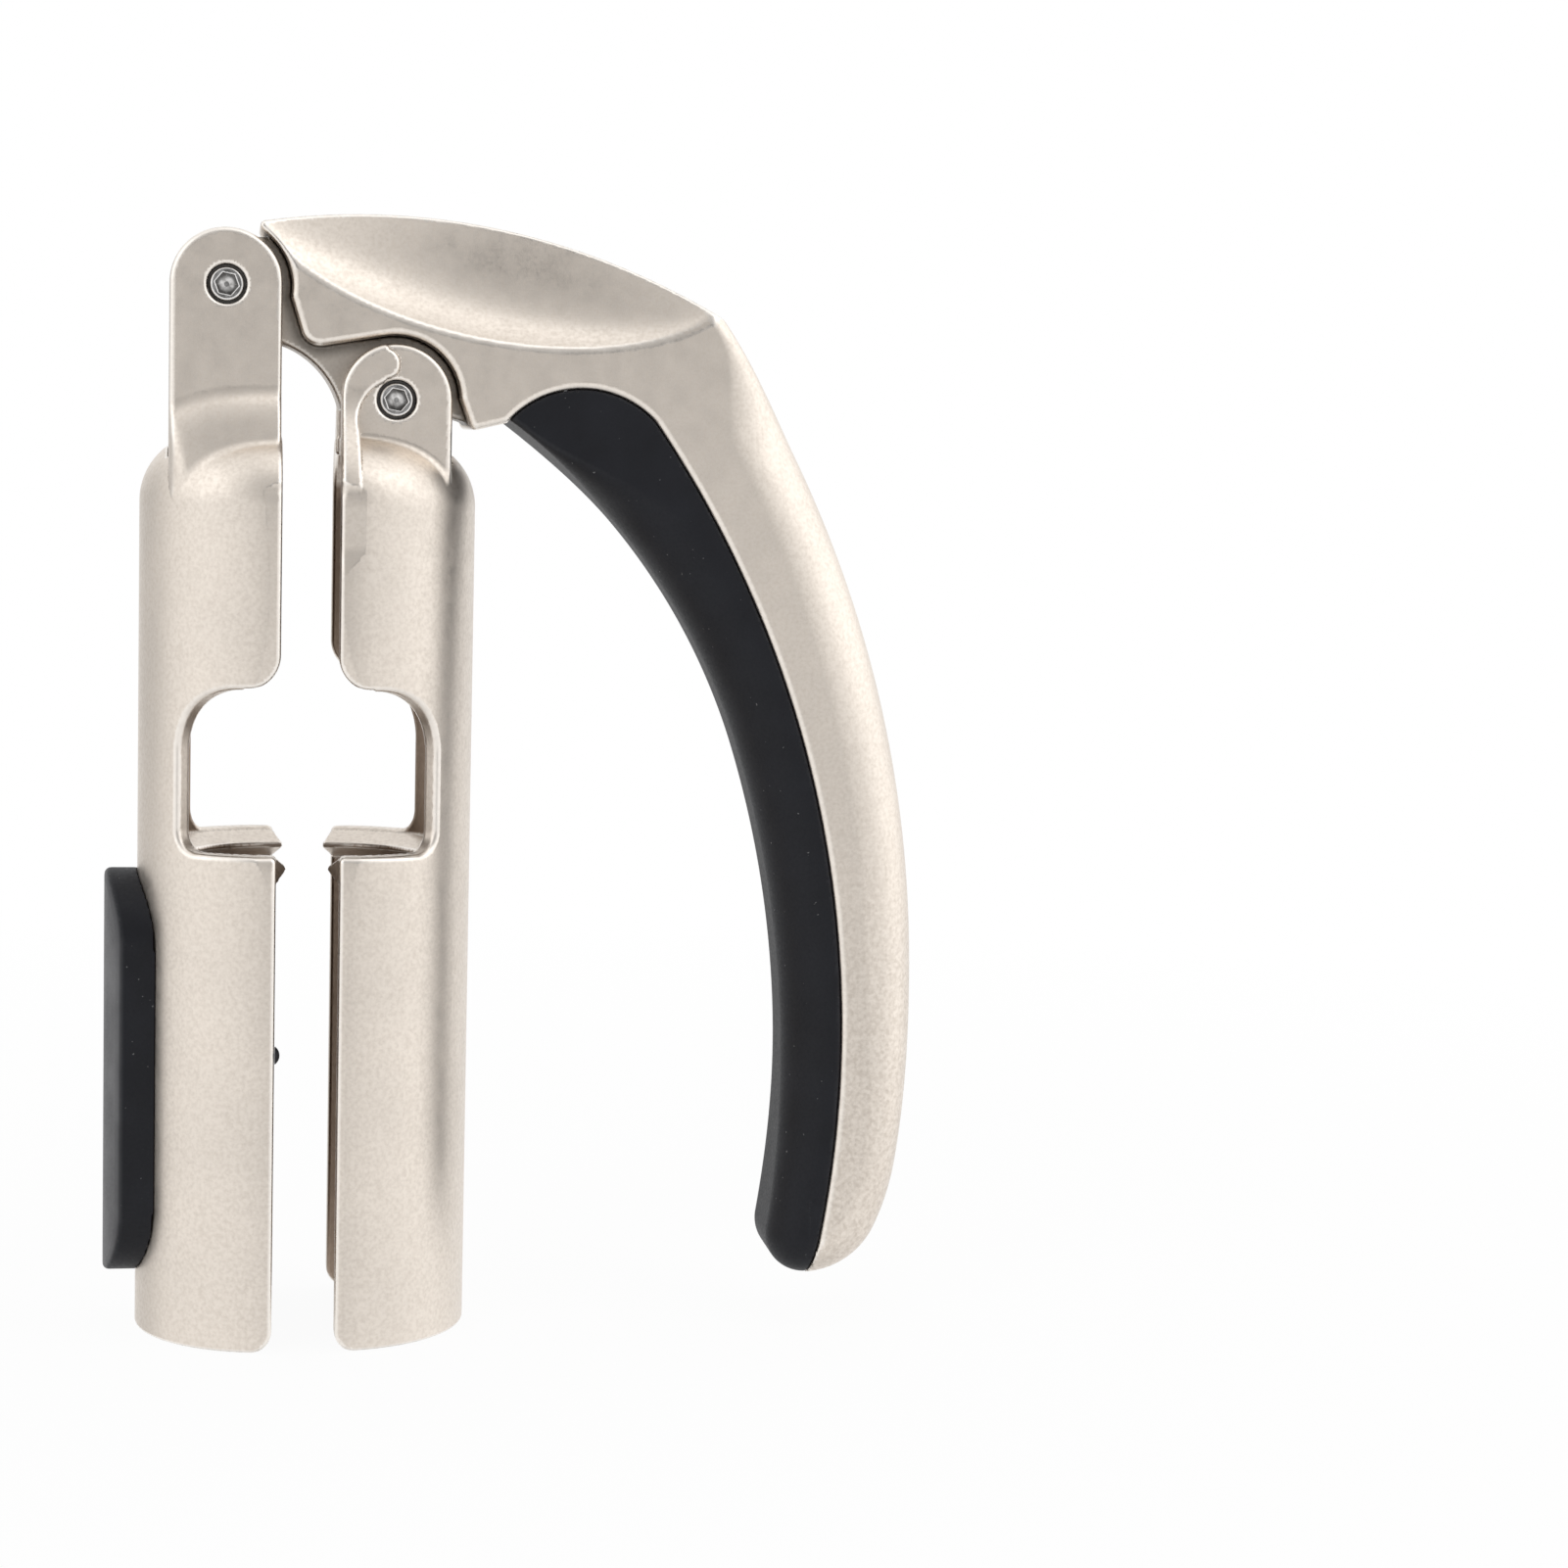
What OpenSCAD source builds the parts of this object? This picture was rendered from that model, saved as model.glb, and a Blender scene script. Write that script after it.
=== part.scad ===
// Champagne bottle opener: two half-tube jaws that close round a bottle neck, worked by a squeeze lever.
// Frame: origin on the fixed jaw's bore axis at its bottom rim, +Z up, +X towards the lever's handle.
// The tool is mirror symmetric about Y = 0. Lengths are millimetres and the lever is drawn at rest.

/* [Jaws] */
// Outer radius of each half-tube jaw
jaw_r = 18; // [16:0.5:21]
// Wall thickness of the jaws
jaw_wall = 2.6; // [2:0.1:3.2]
// Distance between the two jaw axes at rest
jaw_spacing = 8.1; // [7:0.1:10]
// How far the edge above the window stands past the jaw's own axis
upper_edge = 0.35; // [0:0.05:0.6]
// Radius of the bottom corners at the split
rim_corner_r = 3; // [1:0.5:5]
// Height at which the domed shoulder starts
shoulder_z = 110.7; // [104:0.5:116]
// Radius of the domed shoulder
shoulder_r = 9; // [7:0.5:11]

/* [Cork window] */
// Height of the window's bottom edge
window_z = 65.6; // [60:0.5:70]
// Height of the window
window_h = 21.5; // [16:0.5:26]
// Angle from the split's normal to the window's side edge
window_angle = 45; // [35:1:55]
// Radius of the window's upper outer corners
window_top_r = 5; // [2:0.5:7]
// Radius of the window's lower outer corners
window_foot_r = 3; // [1:0.5:5]
// Radius of the corners above the window at the split
window_lip_r = 4.5; // [2:0.5:6]

/* [Claw ring] */
// How far the claw stands in from the bore
claw_reach = 3.4; // [2:0.1:4.5]
// Height of the claw where it leaves the wall
claw_h = 4.4; // [3:0.1:6]
// How far the claw's edge lies below the window
claw_drop = 1.9; // [1:0.1:2.4]
// Thickness of the claw's edge
claw_edge = 0.6; // [0.3:0.1:1]
// How far the claw runs past the jaw's own axis
claw_past = 1.4; // [0.5:0.1:1.8]

/* [Pivots] */
// Height of the pivot between fixed jaw and lever
upper_pivot_z = 138.85; // [134:0.25:142]
// Height of the pivot between moving jaw and lever
lower_pivot_z = 124.65; // [122:0.25:128]
// Radius of the rounded ears
ear_r = 7.25; // [6:0.25:8.5]
// Half of the width over the ears
ear_out = 10.5; // [9:0.25:12]
// Thickness of each ear
ear_t = 3.8; // [3:0.1:5]
// Width of the raised rim on the moving jaw's ears
rim_w = 2.6; // [1.5:0.1:3.5]
// Height of that rim over the ear
rim_t = 1.2; // [0.6:0.1:2]
// Radius of the pivot barrels
barrel_r = 2.5; // [2:0.1:3]
// Radius of the screw heads
screw_head_r = 2.15; // [1.7:0.05:2.3]
// Thickness of the screw heads
screw_head_t = 1.5; // [1:0.1:2]
// Radius of the screw shanks
screw_shank_r = 1.4; // [1:0.05:1.6]
// Length of the screw shanks
screw_shank_l = 10; // [6:0.5:13]
// Depth of the screw heads and barrel ends below the ear
head_recess = 0.35; // [0.1:0.05:0.8]

/* [Lever] */
// Half of the tongue's thickness between the ears
tongue_half = 6.4; // [5:0.1:6.5]
// Radius of the bosses round the pivots
boss_r = 6.6; // [5:0.1:7]
// Room between an ear and the lever's head
head_room = 1.1; // [0.8:0.1:1.6]
// Closing angle at which the head meets the upper ear
stop_angle = 17; // [12:1:20]
// Angle of the head's face beside the lower ear
face_angle = 20; // [16:1:24]
// Radius of the crest along the top of the head
crest_r = 87; // [80:1:95]
// Radius of the handle's back
back_r = 161.5; // [150:0.5:175]
// Rounding across the handle's back
back_round = 8; // [4:0.5:10]
// Wall of the handle behind the grip
shell_t = 2.8; // [2.4:0.1:4]
// Radius of the rounded end of the handle
end_r = 10.1; // [9:0.1:12]
// Rounding across the end of the handle
end_round = 5; // [3:0.5:7]
// Depth of the side scoops at the middle of the head
scoop_depth = 5; // [2:0.25:7]
// Radius across the scoops at the middle of the head
scoop_r = 22; // [20:0.5:26]
// Distance between the two tips of a scoop
scoop_l = 60; // [50:1:66]
// Height of the scoop's axis over the line through its tips
scoop_rise = 5; // [4:0.25:6]
// Distance of the scoop's middle in front of the upper pivot
scoop_x = 34.3; // [31:0.1:37]
// Height of the scoop's middle over the upper pivot
scoop_up = 7.8; // [6:0.1:9]
// Downward slope of the scoop towards the handle
scoop_slope = 10.1; // [8:0.1:12]

/* [Lever outline] */
// Distance of the crest's centre in front of the upper pivot
crest_x = 18.5; // [16:0.1:21]
// Height of the crest over the upper pivot
crest_up = 9.95; // [9:0.05:11]
// Reach of the handle's back past the moving jaw
handle_reach = 61.5; // [58:0.5:66]
// Depth of the back's centre below the upper pivot
back_drop = 95; // [92:0.5:98]
// Least thickness of the handle with its grip
handle_t = 21; // [19:0.1:23]
// Angle over level of that least thickness, seen from the back's centre
handle_t_angle = 8.55; // [6:0.05:11]
// Angle below level at which the handle ends, seen from the back's centre
end_angle = 10.65; // [8:0.05:13]
// Distance of the head's tip in front of the upper pivot
tip_x = 3.9; // [3:0.1:5]
// Height of the head's tip over the upper pivot
tip_up = 8; // [7:0.1:9]
// Distance of the head's lobe between the ears, in front of the upper pivot
lobe_x = 10; // [9:0.1:11]
// Depth of that lobe below the upper pivot
lobe_drop = 7.9; // [7:0.1:9]
// Distance of the lobe's far side in front of the upper pivot
lobe_far_x = 17.3; // [16:0.1:18.5]
// Depth of the lobe's far side below the upper pivot
lobe_far_drop = 6.5; // [6:0.1:7.5]
// Distance of the head's lower corner in front of the lower pivot
corner_x = 9.9; // [9:0.1:11]
// Depth of the head's lower corner below the lower pivot
corner_drop = 3.75; // [3:0.05:4.5]
// Radius of the hollow under the tongue
web_r = 11.6; // [9:0.1:13]
// Distance of that hollow's centre in front of the upper pivot
web_x = 3.5; // [2.5:0.1:4.5]
// Depth of that hollow's centre below the upper pivot
web_drop = 18.35; // [17:0.05:20]

/* [Grip] */
// Greatest thickness of the metal between the seam and the handle's back
seam_t = 15.9; // [14:0.1:18]
// Angle over level of that greatest thickness, seen from the back's centre
seam_t_angle = 28.9; // [26:0.1:32]
// Direction in which the two arcs of the inner face meet
bend_angle = 18.1; // [15:0.1:21]
// Slight turn between the two arcs where they meet
bend_turn = 1.5; // [1:0.1:3]
// Radius of the long curve that the rounding across the grip follows
round_path_r = 108; // [104:0.5:112]
// Depth of that curve below the handle's back, where it is least
round_path_t = 18.4; // [16:0.1:20]
// Angle below level of that depth, seen from the back's centre
round_path_angle = 10.4; // [8:0.1:13]
// Room between the moving jaw and the grip's top
grip_gap = 0.25; // [0.2:0.05:2]
// Depth of the grip's top centre below the upper pivot
grip_top_drop = 25.35; // [23:0.05:27]
// Height over that centre at which the seam leaves the grip's top
seam_leave = 4.5; // [3:0.1:6]
// Radius of the seam between grip and handle
seam_r = 178.7; // [170:0.5:190]
// Radius of the grip's inner face near the head
grip_upper_r = 86; // [80:0.5:92]
// Radius of the grip's inner face further down
grip_lower_r = 126.8; // [120:0.1:134]
// Radius of the grip's rounded top
grip_top_r = 13.15; // [11:0.25:15]
// Rounding across the grip's inner face
grip_round = 6; // [3:0.5:8]
// Height of the pocket's upper end over the grip's top centre
pocket_top = 3.35; // [0:0.05:4]
// Height of the pocket's lower end over the centre of the handle's end
pocket_foot = 5; // [3:0.1:8]
// Depth of the tenon that seats the grip
tenon_depth = 4; // [2:0.5:5]
// Half of the tenon's thickness
tenon_half = 7.6; // [5:0.1:8]

/* [Pad and bumper] */
// Thickness of the palm pad
pad_t = 4.3; // [3:0.1:6]
// Width of the palm pad
pad_w = 19; // [14:0.5:22]
// Height of the pad's lower end
pad_z = 7.5; // [4:0.5:12]
// Length of the palm pad
pad_l = 54.3; // [44:0.1:56]
// Radius of the pad's two pegs
peg_r = 2.5; // [1.5:0.1:3.5]
// Radius of the bumper button
bumper_r = 1.25; // [0.8:0.05:1.3]
// Height of the bumper over the cut edge
bumper_t = 0.7; // [0.4:0.05:1]
// Height of the bumper's middle
bumper_z = 39.5; // [30:0.5:50]

/* [Hidden] */
$fn = 96;

// Clearances between seated pieces and in the running pivots
seat_gap = 0.06;
run_gap = 0.05;
// Overrun of a cutter past the face that it cuts
over = 1;

bore_r = jaw_r - jaw_wall;
ear_in = ear_out - ear_t;
jaw_top = upper_pivot_z + ear_r;
jaw_out = jaw_spacing + jaw_r;

// Pivot positions in the XZ plane
upper_pivot = [upper_edge - ear_r, upper_pivot_z];
lower_pivot = [jaw_spacing - upper_edge + ear_r, lower_pivot_z];

// Centres of the lever's arcs
crest_c = upper_pivot + [crest_x, crest_up - crest_r];
back_c = [jaw_out + handle_reach - back_r, upper_pivot_z - back_drop];
seam_c = back_c
    + (back_r - seam_r - seam_t) * [cos(seam_t_angle), sin(seam_t_angle)];
grip_upper_c = back_c
    + (back_r - grip_upper_r - handle_t) * [cos(handle_t_angle), sin(handle_t_angle)];
bend = grip_upper_c + grip_upper_r * [cos(bend_angle), sin(bend_angle)];
grip_lower_c = bend
    - grip_lower_r * [cos(bend_angle + bend_turn), sin(bend_angle + bend_turn)];
round_path_c = back_c
    + (back_r - round_path_r - round_path_t) * [cos(round_path_angle), -sin(round_path_angle)];
grip_top_c = [jaw_out + grip_gap + grip_top_r, upper_pivot_z - grip_top_drop];
end_c = back_c + (back_r - end_r) * [cos(end_angle), -sin(end_angle)];
web_c = upper_pivot + [web_x, -web_drop];
// Height below which the seam, and not the grip's round top, bounds the grip
seam_top_z = grip_top_c[1] + seam_leave;
// Where the head's underside meets the grip's top, as an angle over level
head_under_angle = 40.7;
// Corners of the full-width head
head_tip = upper_pivot + [tip_x, tip_up];
head_lobe = upper_pivot + [lobe_x, -lobe_drop];
head_inner = upper_pivot + [lobe_far_x, -lobe_far_drop];
head_corner = lower_pivot + [corner_x, -corner_drop];
head_under = grip_top_c + grip_top_r * [-cos(head_under_angle), sin(head_under_angle)];
// Room left between the ears and the head's straight faces
stop_room = head_room / 4;
face_room = head_room * 2 / 3;
// Pocket ends in the handle
pocket_top_z = grip_top_c[1] + pocket_top;
pocket_foot_z = end_c[1] + pocket_foot;
pocket_half = tenon_half + seat_gap;
far = 200;

// Scoop axis: through the middle of the head, sloping down towards the handle
scoop_mid = upper_pivot + [scoop_x, scoop_up];
scoop_y = ear_out - scoop_depth + scoop_r;
scoop_end_r = norm([scoop_y - ear_out, scoop_rise]);
scoop_sag = scoop_r - scoop_end_r;
scoop_arc_r = (pow(scoop_l / 2, 2) + pow(scoop_sag, 2)) / (2 * scoop_sag);

steel = [0.77, 0.74, 0.70];
rubber = [0.10, 0.10, 0.11];
pin_steel = [0.55, 0.54, 0.52];

// Extrudes a drawing of the XZ plane along Y, half to each side
module across(width) {
    rotate([90, 0, 0])
        linear_extrude(height = width, center = true)
            children();
}

// Turns a section about an axis parallel to Y through a point of the XZ plane
module turn_about(centre) {
    translate([centre[0], 0, centre[1]])
        rotate([90, 0, 0])
            rotate_extrude($fn = 360)
                children();
}

// Cylinder along Y through a point of the XZ plane, from y0 to y1
module y_rod(centre, r, y0, y1) {
    translate([centre[0], y1, centre[1]])
        rotate([90, 0, 0])
            cylinder(h = y1 - y0, r = r);
}

// Wall profile of a jaw up to its domed shoulder
module dome_profile(r, shoulder, foot) {
    translate([0, foot])
        square([r, shoulder_z - foot]);
    translate([0, shoulder_z])
        square([r - shoulder, shoulder]);
    intersection() {
        translate([r - shoulder, shoulder_z])
            circle(r = shoulder);
        translate([r - shoulder, shoulder_z])
            square([shoulder, shoulder]);
    }
}

// Half-space left of the split: its edge stands further out above the window
module half_space() {
    upper_z = window_z + window_h / 2;
    translate([-far, -far / 2, -over])
        cube([far, far, upper_z + over]);
    translate([-far, -far / 2, upper_z])
        cube([far + upper_edge, far, far]);
}

// Cork window on one side, its edge cut towards the jaw's axis
module window_cut(side) {
    depth = jaw_r + over;
    rotate([0, 0, 180 + side * window_angle])
        rotate([90, 0, 90])
            linear_extrude(height = depth)
                difference() {
                    translate([side > 0 ? 0 : -2 * jaw_r, window_z])
                        square([2 * jaw_r, window_h]);
                    window_corner(side, window_top_r, window_z + window_h, -1);
                    window_corner(side, window_foot_r, window_z, 1);
                }
}

// What stays in a corner of the window
module window_corner(side, r, z, up) {
    difference() {
        translate([side > 0 ? -over : -r, up > 0 ? z - over : z - r])
            square([r + over, r + over]);
        translate([side * r, z + up * r])
            circle(r = r);
    }
}

// Outside of a rounded corner at the split
module split_corner(x, z, r) {
    across(far)
        difference() {
            translate([x - r, z - over])
                square([r + over, r + over]);
            translate([x - r, z + r])
                circle(r = r);
        }
}

// Round-topped ear that reaches down into the shoulder's wall
module ear_outline(pivot) {
    foot_z = min(shoulder_z, pivot[1] - ear_r);
    translate([pivot[0], pivot[1]])
        circle(r = ear_r);
    translate([pivot[0] - ear_r, foot_z])
        square([2 * ear_r, pivot[1] - foot_z]);
}

module claw_ring() {
    past_angle = asin(claw_past / bore_r);
    rotate([0, 0, 90 - past_angle])
        rotate_extrude(angle = 180 + 2 * past_angle, $fn = 180)
            polygon([
                [bore_r + jaw_wall / 4, window_z],
                [bore_r - claw_reach, window_z - claw_drop],
                [bore_r - claw_reach, window_z - claw_drop - claw_edge],
                [bore_r + jaw_wall / 4, window_z - claw_h]
            ]);
}

// One jaw in its own frame: axis at X = 0, open towards +X
module jaw(pivot) {
    ear_gap = 2 * ear_in;
    difference() {
        union() {
            difference() {
                intersection() {
                    union() {
                        rotate_extrude($fn = 180)
                            dome_profile(jaw_r, shoulder_r, 0);
                        across(2 * ear_out)
                            ear_outline(pivot);
                    }
                    half_space();
                }
                rotate_extrude($fn = 180)
                    dome_profile(bore_r, shoulder_r - jaw_wall, -over);
            }
            claw_ring();
        }
        for (side = [-1, 1])
            window_cut(side);
        split_corner(upper_edge, window_z + window_h, window_lip_r);
        split_corner(0, 0, rim_corner_r);
        translate([pivot[0] - ear_r, -ear_in, shoulder_z])
            cube([2 * ear_r + over, ear_gap, jaw_top]);
        y_rod(pivot, barrel_r + run_gap, -far / 2, far / 2);
    }
}

// Raised rim along the inner edge and round the top of the moving jaw's ears
module ear_rim(pivot) {
    across(2 * (ear_out + rim_t))
        intersection() {
            difference() {
                ear_outline(pivot);
                translate(pivot)
                    circle(r = ear_r - rim_w);
                translate([pivot[0] - ear_r - over, shoulder_z - over])
                    square([2 * ear_r - rim_w + over, pivot[1] - shoulder_z + over]);
                translate([pivot[0] - ear_r - over, pivot[1]])
                    square([ear_r + over, ear_r + over]);
            }
            translate([pivot[0] - ear_r, shoulder_z + shoulder_r / 2])
                square([2 * ear_r, jaw_top]);
        }
}

module fixed_jaw() {
    color(steel)
        difference() {
            jaw(upper_pivot);
            pad_pegs(peg_r + seat_gap, bore_r - over);
            bumper_stem(seat_gap);
        }
}

module moving_jaw() {
    own_pivot = [jaw_spacing - lower_pivot[0], lower_pivot[1]];
    color(steel)
        translate([jaw_spacing, 0, 0])
            mirror([1, 0, 0])
                union() {
                    jaw(own_pivot);
                    difference() {
                        ear_rim(own_pivot);
                        translate([-far / 2, -ear_out, 0])
                            cube([far, 2 * ear_out, far]);
                    }
                }
}

// Room for an ear inside the head: a round seat and a straight face
module ear_room(pivot, angle, reach) {
    translate(pivot) {
        circle(r = ear_r + head_room);
        rotate(angle)
            translate([-far / 4, -far / 4])
                square([far / 4 + reach, far / 4]);
    }
}

// Everything on the grip's side of the seam
module grip_side(gap) {
    intersection() {
        translate(seam_c)
            circle(r = seam_r + gap, $fn = 720);
        union() {
            translate(grip_top_c)
                circle(r = grip_top_r + gap);
            translate([grip_top_c[0], -far])
                square([far, far + seam_top_z + gap]);
            translate([-far, -far])
                square([2 * far, far + grip_top_c[1]]);
        }
    }
}

// Everything above the handle's end, which is rounded both along and across the handle
module above_end() {
    flat = ear_out - end_round;
    clear = ear_out + over;
    translate([-far, -clear, end_c[1]])
        cube([2 * far, 2 * clear, far]);
    turn_about(end_c) {
        translate([0, -ear_out])
            square([end_r - end_round, 2 * ear_out]);
        translate([0, -flat])
            square([end_r, 2 * flat]);
        for (side = [-1, 1])
            translate([end_r - end_round, side * flat])
                circle(r = end_round);
    }
}

module head_outline() {
    difference() {
        intersection() {
            translate(crest_c)
                circle(r = crest_r, $fn = 360);
            translate(back_c)
                circle(r = back_r, $fn = 720);
            polygon([
                [head_tip[0], jaw_top + far / 10],
                [far, jaw_top + far / 10],
                [far, -far / 10],
                [grip_top_c[0], -far / 10],
                grip_top_c,
                head_under,
                head_corner,
                lower_pivot,
                head_inner,
                head_lobe,
                upper_pivot,
                head_tip
            ]);
        }
        ear_room(upper_pivot, stop_angle, ear_r + stop_room);
        ear_room(lower_pivot, face_angle, ear_r + face_room);
        grip_side(seat_gap);
    }
}

module tongue_outline() {
    difference() {
        union() {
            for (pivot = [upper_pivot, lower_pivot])
                translate(pivot)
                    circle(r = boss_r);
            polygon([
                upper_pivot,
                upper_pivot + [0, boss_r],
                head_tip + [over, -over],
                head_corner + [over, over],
                lower_pivot,
                web_c
            ]);
        }
        translate(web_c)
            circle(r = web_r);
    }
}

// Pocket between the handle's back and the seam
module pocket_outline(gap) {
    difference() {
        intersection() {
            translate(back_c)
                circle(r = back_r - shell_t - gap, $fn = 720);
            translate([upper_pivot[0], pocket_foot_z + gap])
                square([far, pocket_top_z - pocket_foot_z - 2 * gap]);
        }
        translate(seam_c)
            circle(r = seam_r - tenon_depth / 2, $fn = 720);
    }
}

// Section across the handle, rounded at its back
module back_section() {
    flat = ear_out - back_round;
    square_r = back_r - back_round;
    translate([back_r / 4, -ear_out])
        square([square_r - back_r / 4, 2 * ear_out]);
    translate([back_r / 4, -flat])
        square([back_r * 3 / 4, 2 * flat]);
    for (side = [-1, 1])
        translate([square_r, side * flat])
            circle(r = back_round);
}

// Lens-shaped cut that hollows one side of the head
module scoop(side) {
    translate([scoop_mid[0], side * scoop_y, scoop_mid[1]])
        rotate([0, 90 + scoop_slope, 0])
            rotate_extrude($fn = 180)
                intersection() {
                    translate([scoop_r - scoop_arc_r, 0])
                        circle(r = scoop_arc_r, $fn = 360);
                    translate([0, -scoop_l])
                        square([scoop_r + over, 2 * scoop_l]);
                }
}

module lever() {
    color(steel)
        difference() {
            union() {
                intersection() {
                    across(2 * ear_out)
                        head_outline();
                    turn_about(back_c)
                        back_section();
                    above_end();
                }
                across(2 * tongue_half)
                    tongue_outline();
            }
            for (side = [-1, 1])
                scoop(side);
            across(2 * pocket_half)
                pocket_outline(0);
            for (pivot = [upper_pivot, lower_pivot])
                y_rod(pivot, barrel_r + run_gap, -far / 2, far / 2);
        }
}

// The hand's room inside the grip, bounded by two arcs
module hand_room() {
    translate(grip_upper_c)
        circle(r = grip_upper_r, $fn = 360);
    intersection() {
        translate(grip_lower_c)
            circle(r = grip_lower_r, $fn = 720);
        translate([-far, -far])
            square([2 * far, far + bend[1] + grip_round]);
    }
}

module grip_outline() {
    difference() {
        grip_side(0);
        hand_room();
        translate([-far, -far])
            square([far + grip_top_c[0] - 2 * grip_top_r, 2 * far]);
    }
}

// Section across the grip, rounded at its inner face
module grip_section() {
    flat = ear_out - grip_round;
    depth = 3 * grip_top_r;
    translate([round_path_r + grip_round, -ear_out])
        square([depth, 2 * ear_out]);
    translate([round_path_r, -flat])
        square([depth, 2 * flat]);
    for (side = [-1, 1])
        translate([round_path_r + grip_round, side * flat])
            circle(r = grip_round);
}

module lever_grip() {
    color(rubber) {
        intersection() {
            across(2 * (ear_out + over))
                grip_outline();
            above_end();
            turn_about(round_path_c)
                grip_section();
        }
        across(2 * tenon_half)
            intersection() {
                pocket_outline(seat_gap);
                translate(seam_c)
                    circle(r = seam_r + tenon_depth, $fn = 720);
            }
    }
}

// Two pegs that hold the pad in the jaw's wall
module pad_pegs(r, reach) {
    inset = pad_w * 0.7;
    for (z = [pad_z + inset, pad_z + pad_l - inset])
        translate([-reach, 0, z])
            rotate([0, -90, 0])
                cylinder(h = jaw_r + pad_t / 2 - reach, r = r);
}

module jaw_pad() {
    end = pad_w / 2;
    color(rubber) {
        difference() {
            intersection() {
                translate([0, 0, pad_z - over])
                    cylinder(h = pad_l + 2 * over, r = jaw_r + pad_t, $fn = 180);
                translate([-far / 4, 0, 0])
                    rotate([90, 0, 90])
                        linear_extrude(height = far / 4)
                            pad_outline(end);
            }
            translate([0, 0, pad_z - over])
                cylinder(h = pad_l + 2 * over, r = jaw_r + seat_gap, $fn = 180);
        }
        pad_pegs(peg_r, bore_r + seat_gap);
    }
}

// Long rounded outline of the pad
module pad_outline(end) {
    for (z = [pad_z + end, pad_z + pad_l - end])
        translate([0, z])
            circle(r = end);
    translate([-end, pad_z + end])
        square([2 * end, pad_l - 2 * end]);
}

// Stem that holds the bumper in the cut edge
module bumper_stem(gap) {
    stem_l = 2 * bumper_r + gap;
    translate([-stem_l, jaw_wall / 2 - jaw_r, bumper_z])
        rotate([0, 90, 0])
            cylinder(h = stem_l + bumper_t / 2, r = bumper_r / 2 + gap, $fn = 360);
}

module jaw_bumper() {
    cap_r = (pow(bumper_r, 2) + pow(bumper_t, 2)) / (2 * bumper_t);
    color(rubber) {
        translate([0, jaw_wall / 2 - jaw_r, bumper_z])
            rotate([0, 90, 0])
                rotate_extrude($fn = 360)
                    intersection() {
                        translate([0, bumper_t - cap_r])
                            circle(r = cap_r, $fn = 720);
                        translate([0, seat_gap])
                            square(2 * bumper_r);
                    }
        bumper_stem(0);
    }
}

// Hollow pivot barrel, closed at its back end
module barrel(pivot) {
    front = head_recess + screw_head_t - ear_out;
    color(pin_steel)
        difference() {
            y_rod(pivot, barrel_r, front, ear_out - head_recess);
            y_rod(pivot, screw_shank_r + seat_gap, front - over, front + screw_shank_l + over);
        }
}

// Screw with a cross recess in its head
module screw(pivot) {
    front = head_recess - ear_out;
    slot_w = screw_head_r / 3;
    slot_l = screw_head_r * 1.2;
    slot_d = screw_head_t / 2;
    color(pin_steel)
        difference() {
            union() {
                y_rod(pivot, screw_head_r, front, front + screw_head_t);
                y_rod(pivot, screw_shank_r, front, front + screw_head_t + screw_shank_l);
            }
            for (angle = [0, 90])
                translate([pivot[0], front, pivot[1]])
                    rotate([0, angle, 0])
                        cube([slot_l, 2 * slot_d, slot_w], center = true);
        }
}

module upper_pivot_barrel() {
    barrel(upper_pivot);
}

module upper_pivot_screw() {
    screw(upper_pivot);
}

module lower_pivot_barrel() {
    barrel(lower_pivot);
}

module lower_pivot_screw() {
    screw(lower_pivot);
}

fixed_jaw();
moving_jaw();
lever();
lever_grip();
jaw_pad();
jaw_bumper();
upper_pivot_barrel();
upper_pivot_screw();
lower_pivot_barrel();
lower_pivot_screw();
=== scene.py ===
"""Looks of the champagne bottle opener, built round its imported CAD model.

Each casting and rubber piece is written as a distance field in millimetres, in the frame of the CAD:
+Z up, +X towards the handle, Y along the pivots. The field is meshed, and the mesh rides on its body.
"""

import math

import bmesh
import bpy
import numpy as np
from mathutils import Matrix, Vector


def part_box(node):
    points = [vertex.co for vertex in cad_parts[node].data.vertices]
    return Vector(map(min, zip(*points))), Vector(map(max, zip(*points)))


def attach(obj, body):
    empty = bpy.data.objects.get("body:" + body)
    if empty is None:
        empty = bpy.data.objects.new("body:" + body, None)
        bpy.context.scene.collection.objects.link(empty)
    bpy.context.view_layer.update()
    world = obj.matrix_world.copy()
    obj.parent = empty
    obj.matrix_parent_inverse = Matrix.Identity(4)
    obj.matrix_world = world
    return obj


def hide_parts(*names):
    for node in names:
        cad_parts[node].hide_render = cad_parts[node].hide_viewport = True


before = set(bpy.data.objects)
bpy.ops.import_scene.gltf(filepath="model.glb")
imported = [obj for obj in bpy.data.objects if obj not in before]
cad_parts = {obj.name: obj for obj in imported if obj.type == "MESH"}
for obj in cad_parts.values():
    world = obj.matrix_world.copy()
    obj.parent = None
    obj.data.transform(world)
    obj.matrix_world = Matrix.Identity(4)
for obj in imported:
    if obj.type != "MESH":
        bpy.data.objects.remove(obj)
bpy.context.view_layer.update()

MM = 0.001
# Grid steps of the meshes, and the share of their faces that stays
STEP = 0.38
KEPT_FACES = 0.32
FINE_STEP = 0.09
# Spans over which the fields' slopes are measured
SLOPE_SPAN = 0.02
NORMAL_SPAN = 0.12
BEND_SPAN = 0.35
# Distance from a face's corners at which its slope is measured, and the most of the way to its middle
FACE_INSET = 0.6
MOST_INSET = 0.7
# Change of slope that a flat face may show
FLAT_LIMIT = 0.01
# Points that lie closer than this become one
SAME_POINT = 0.002
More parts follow.
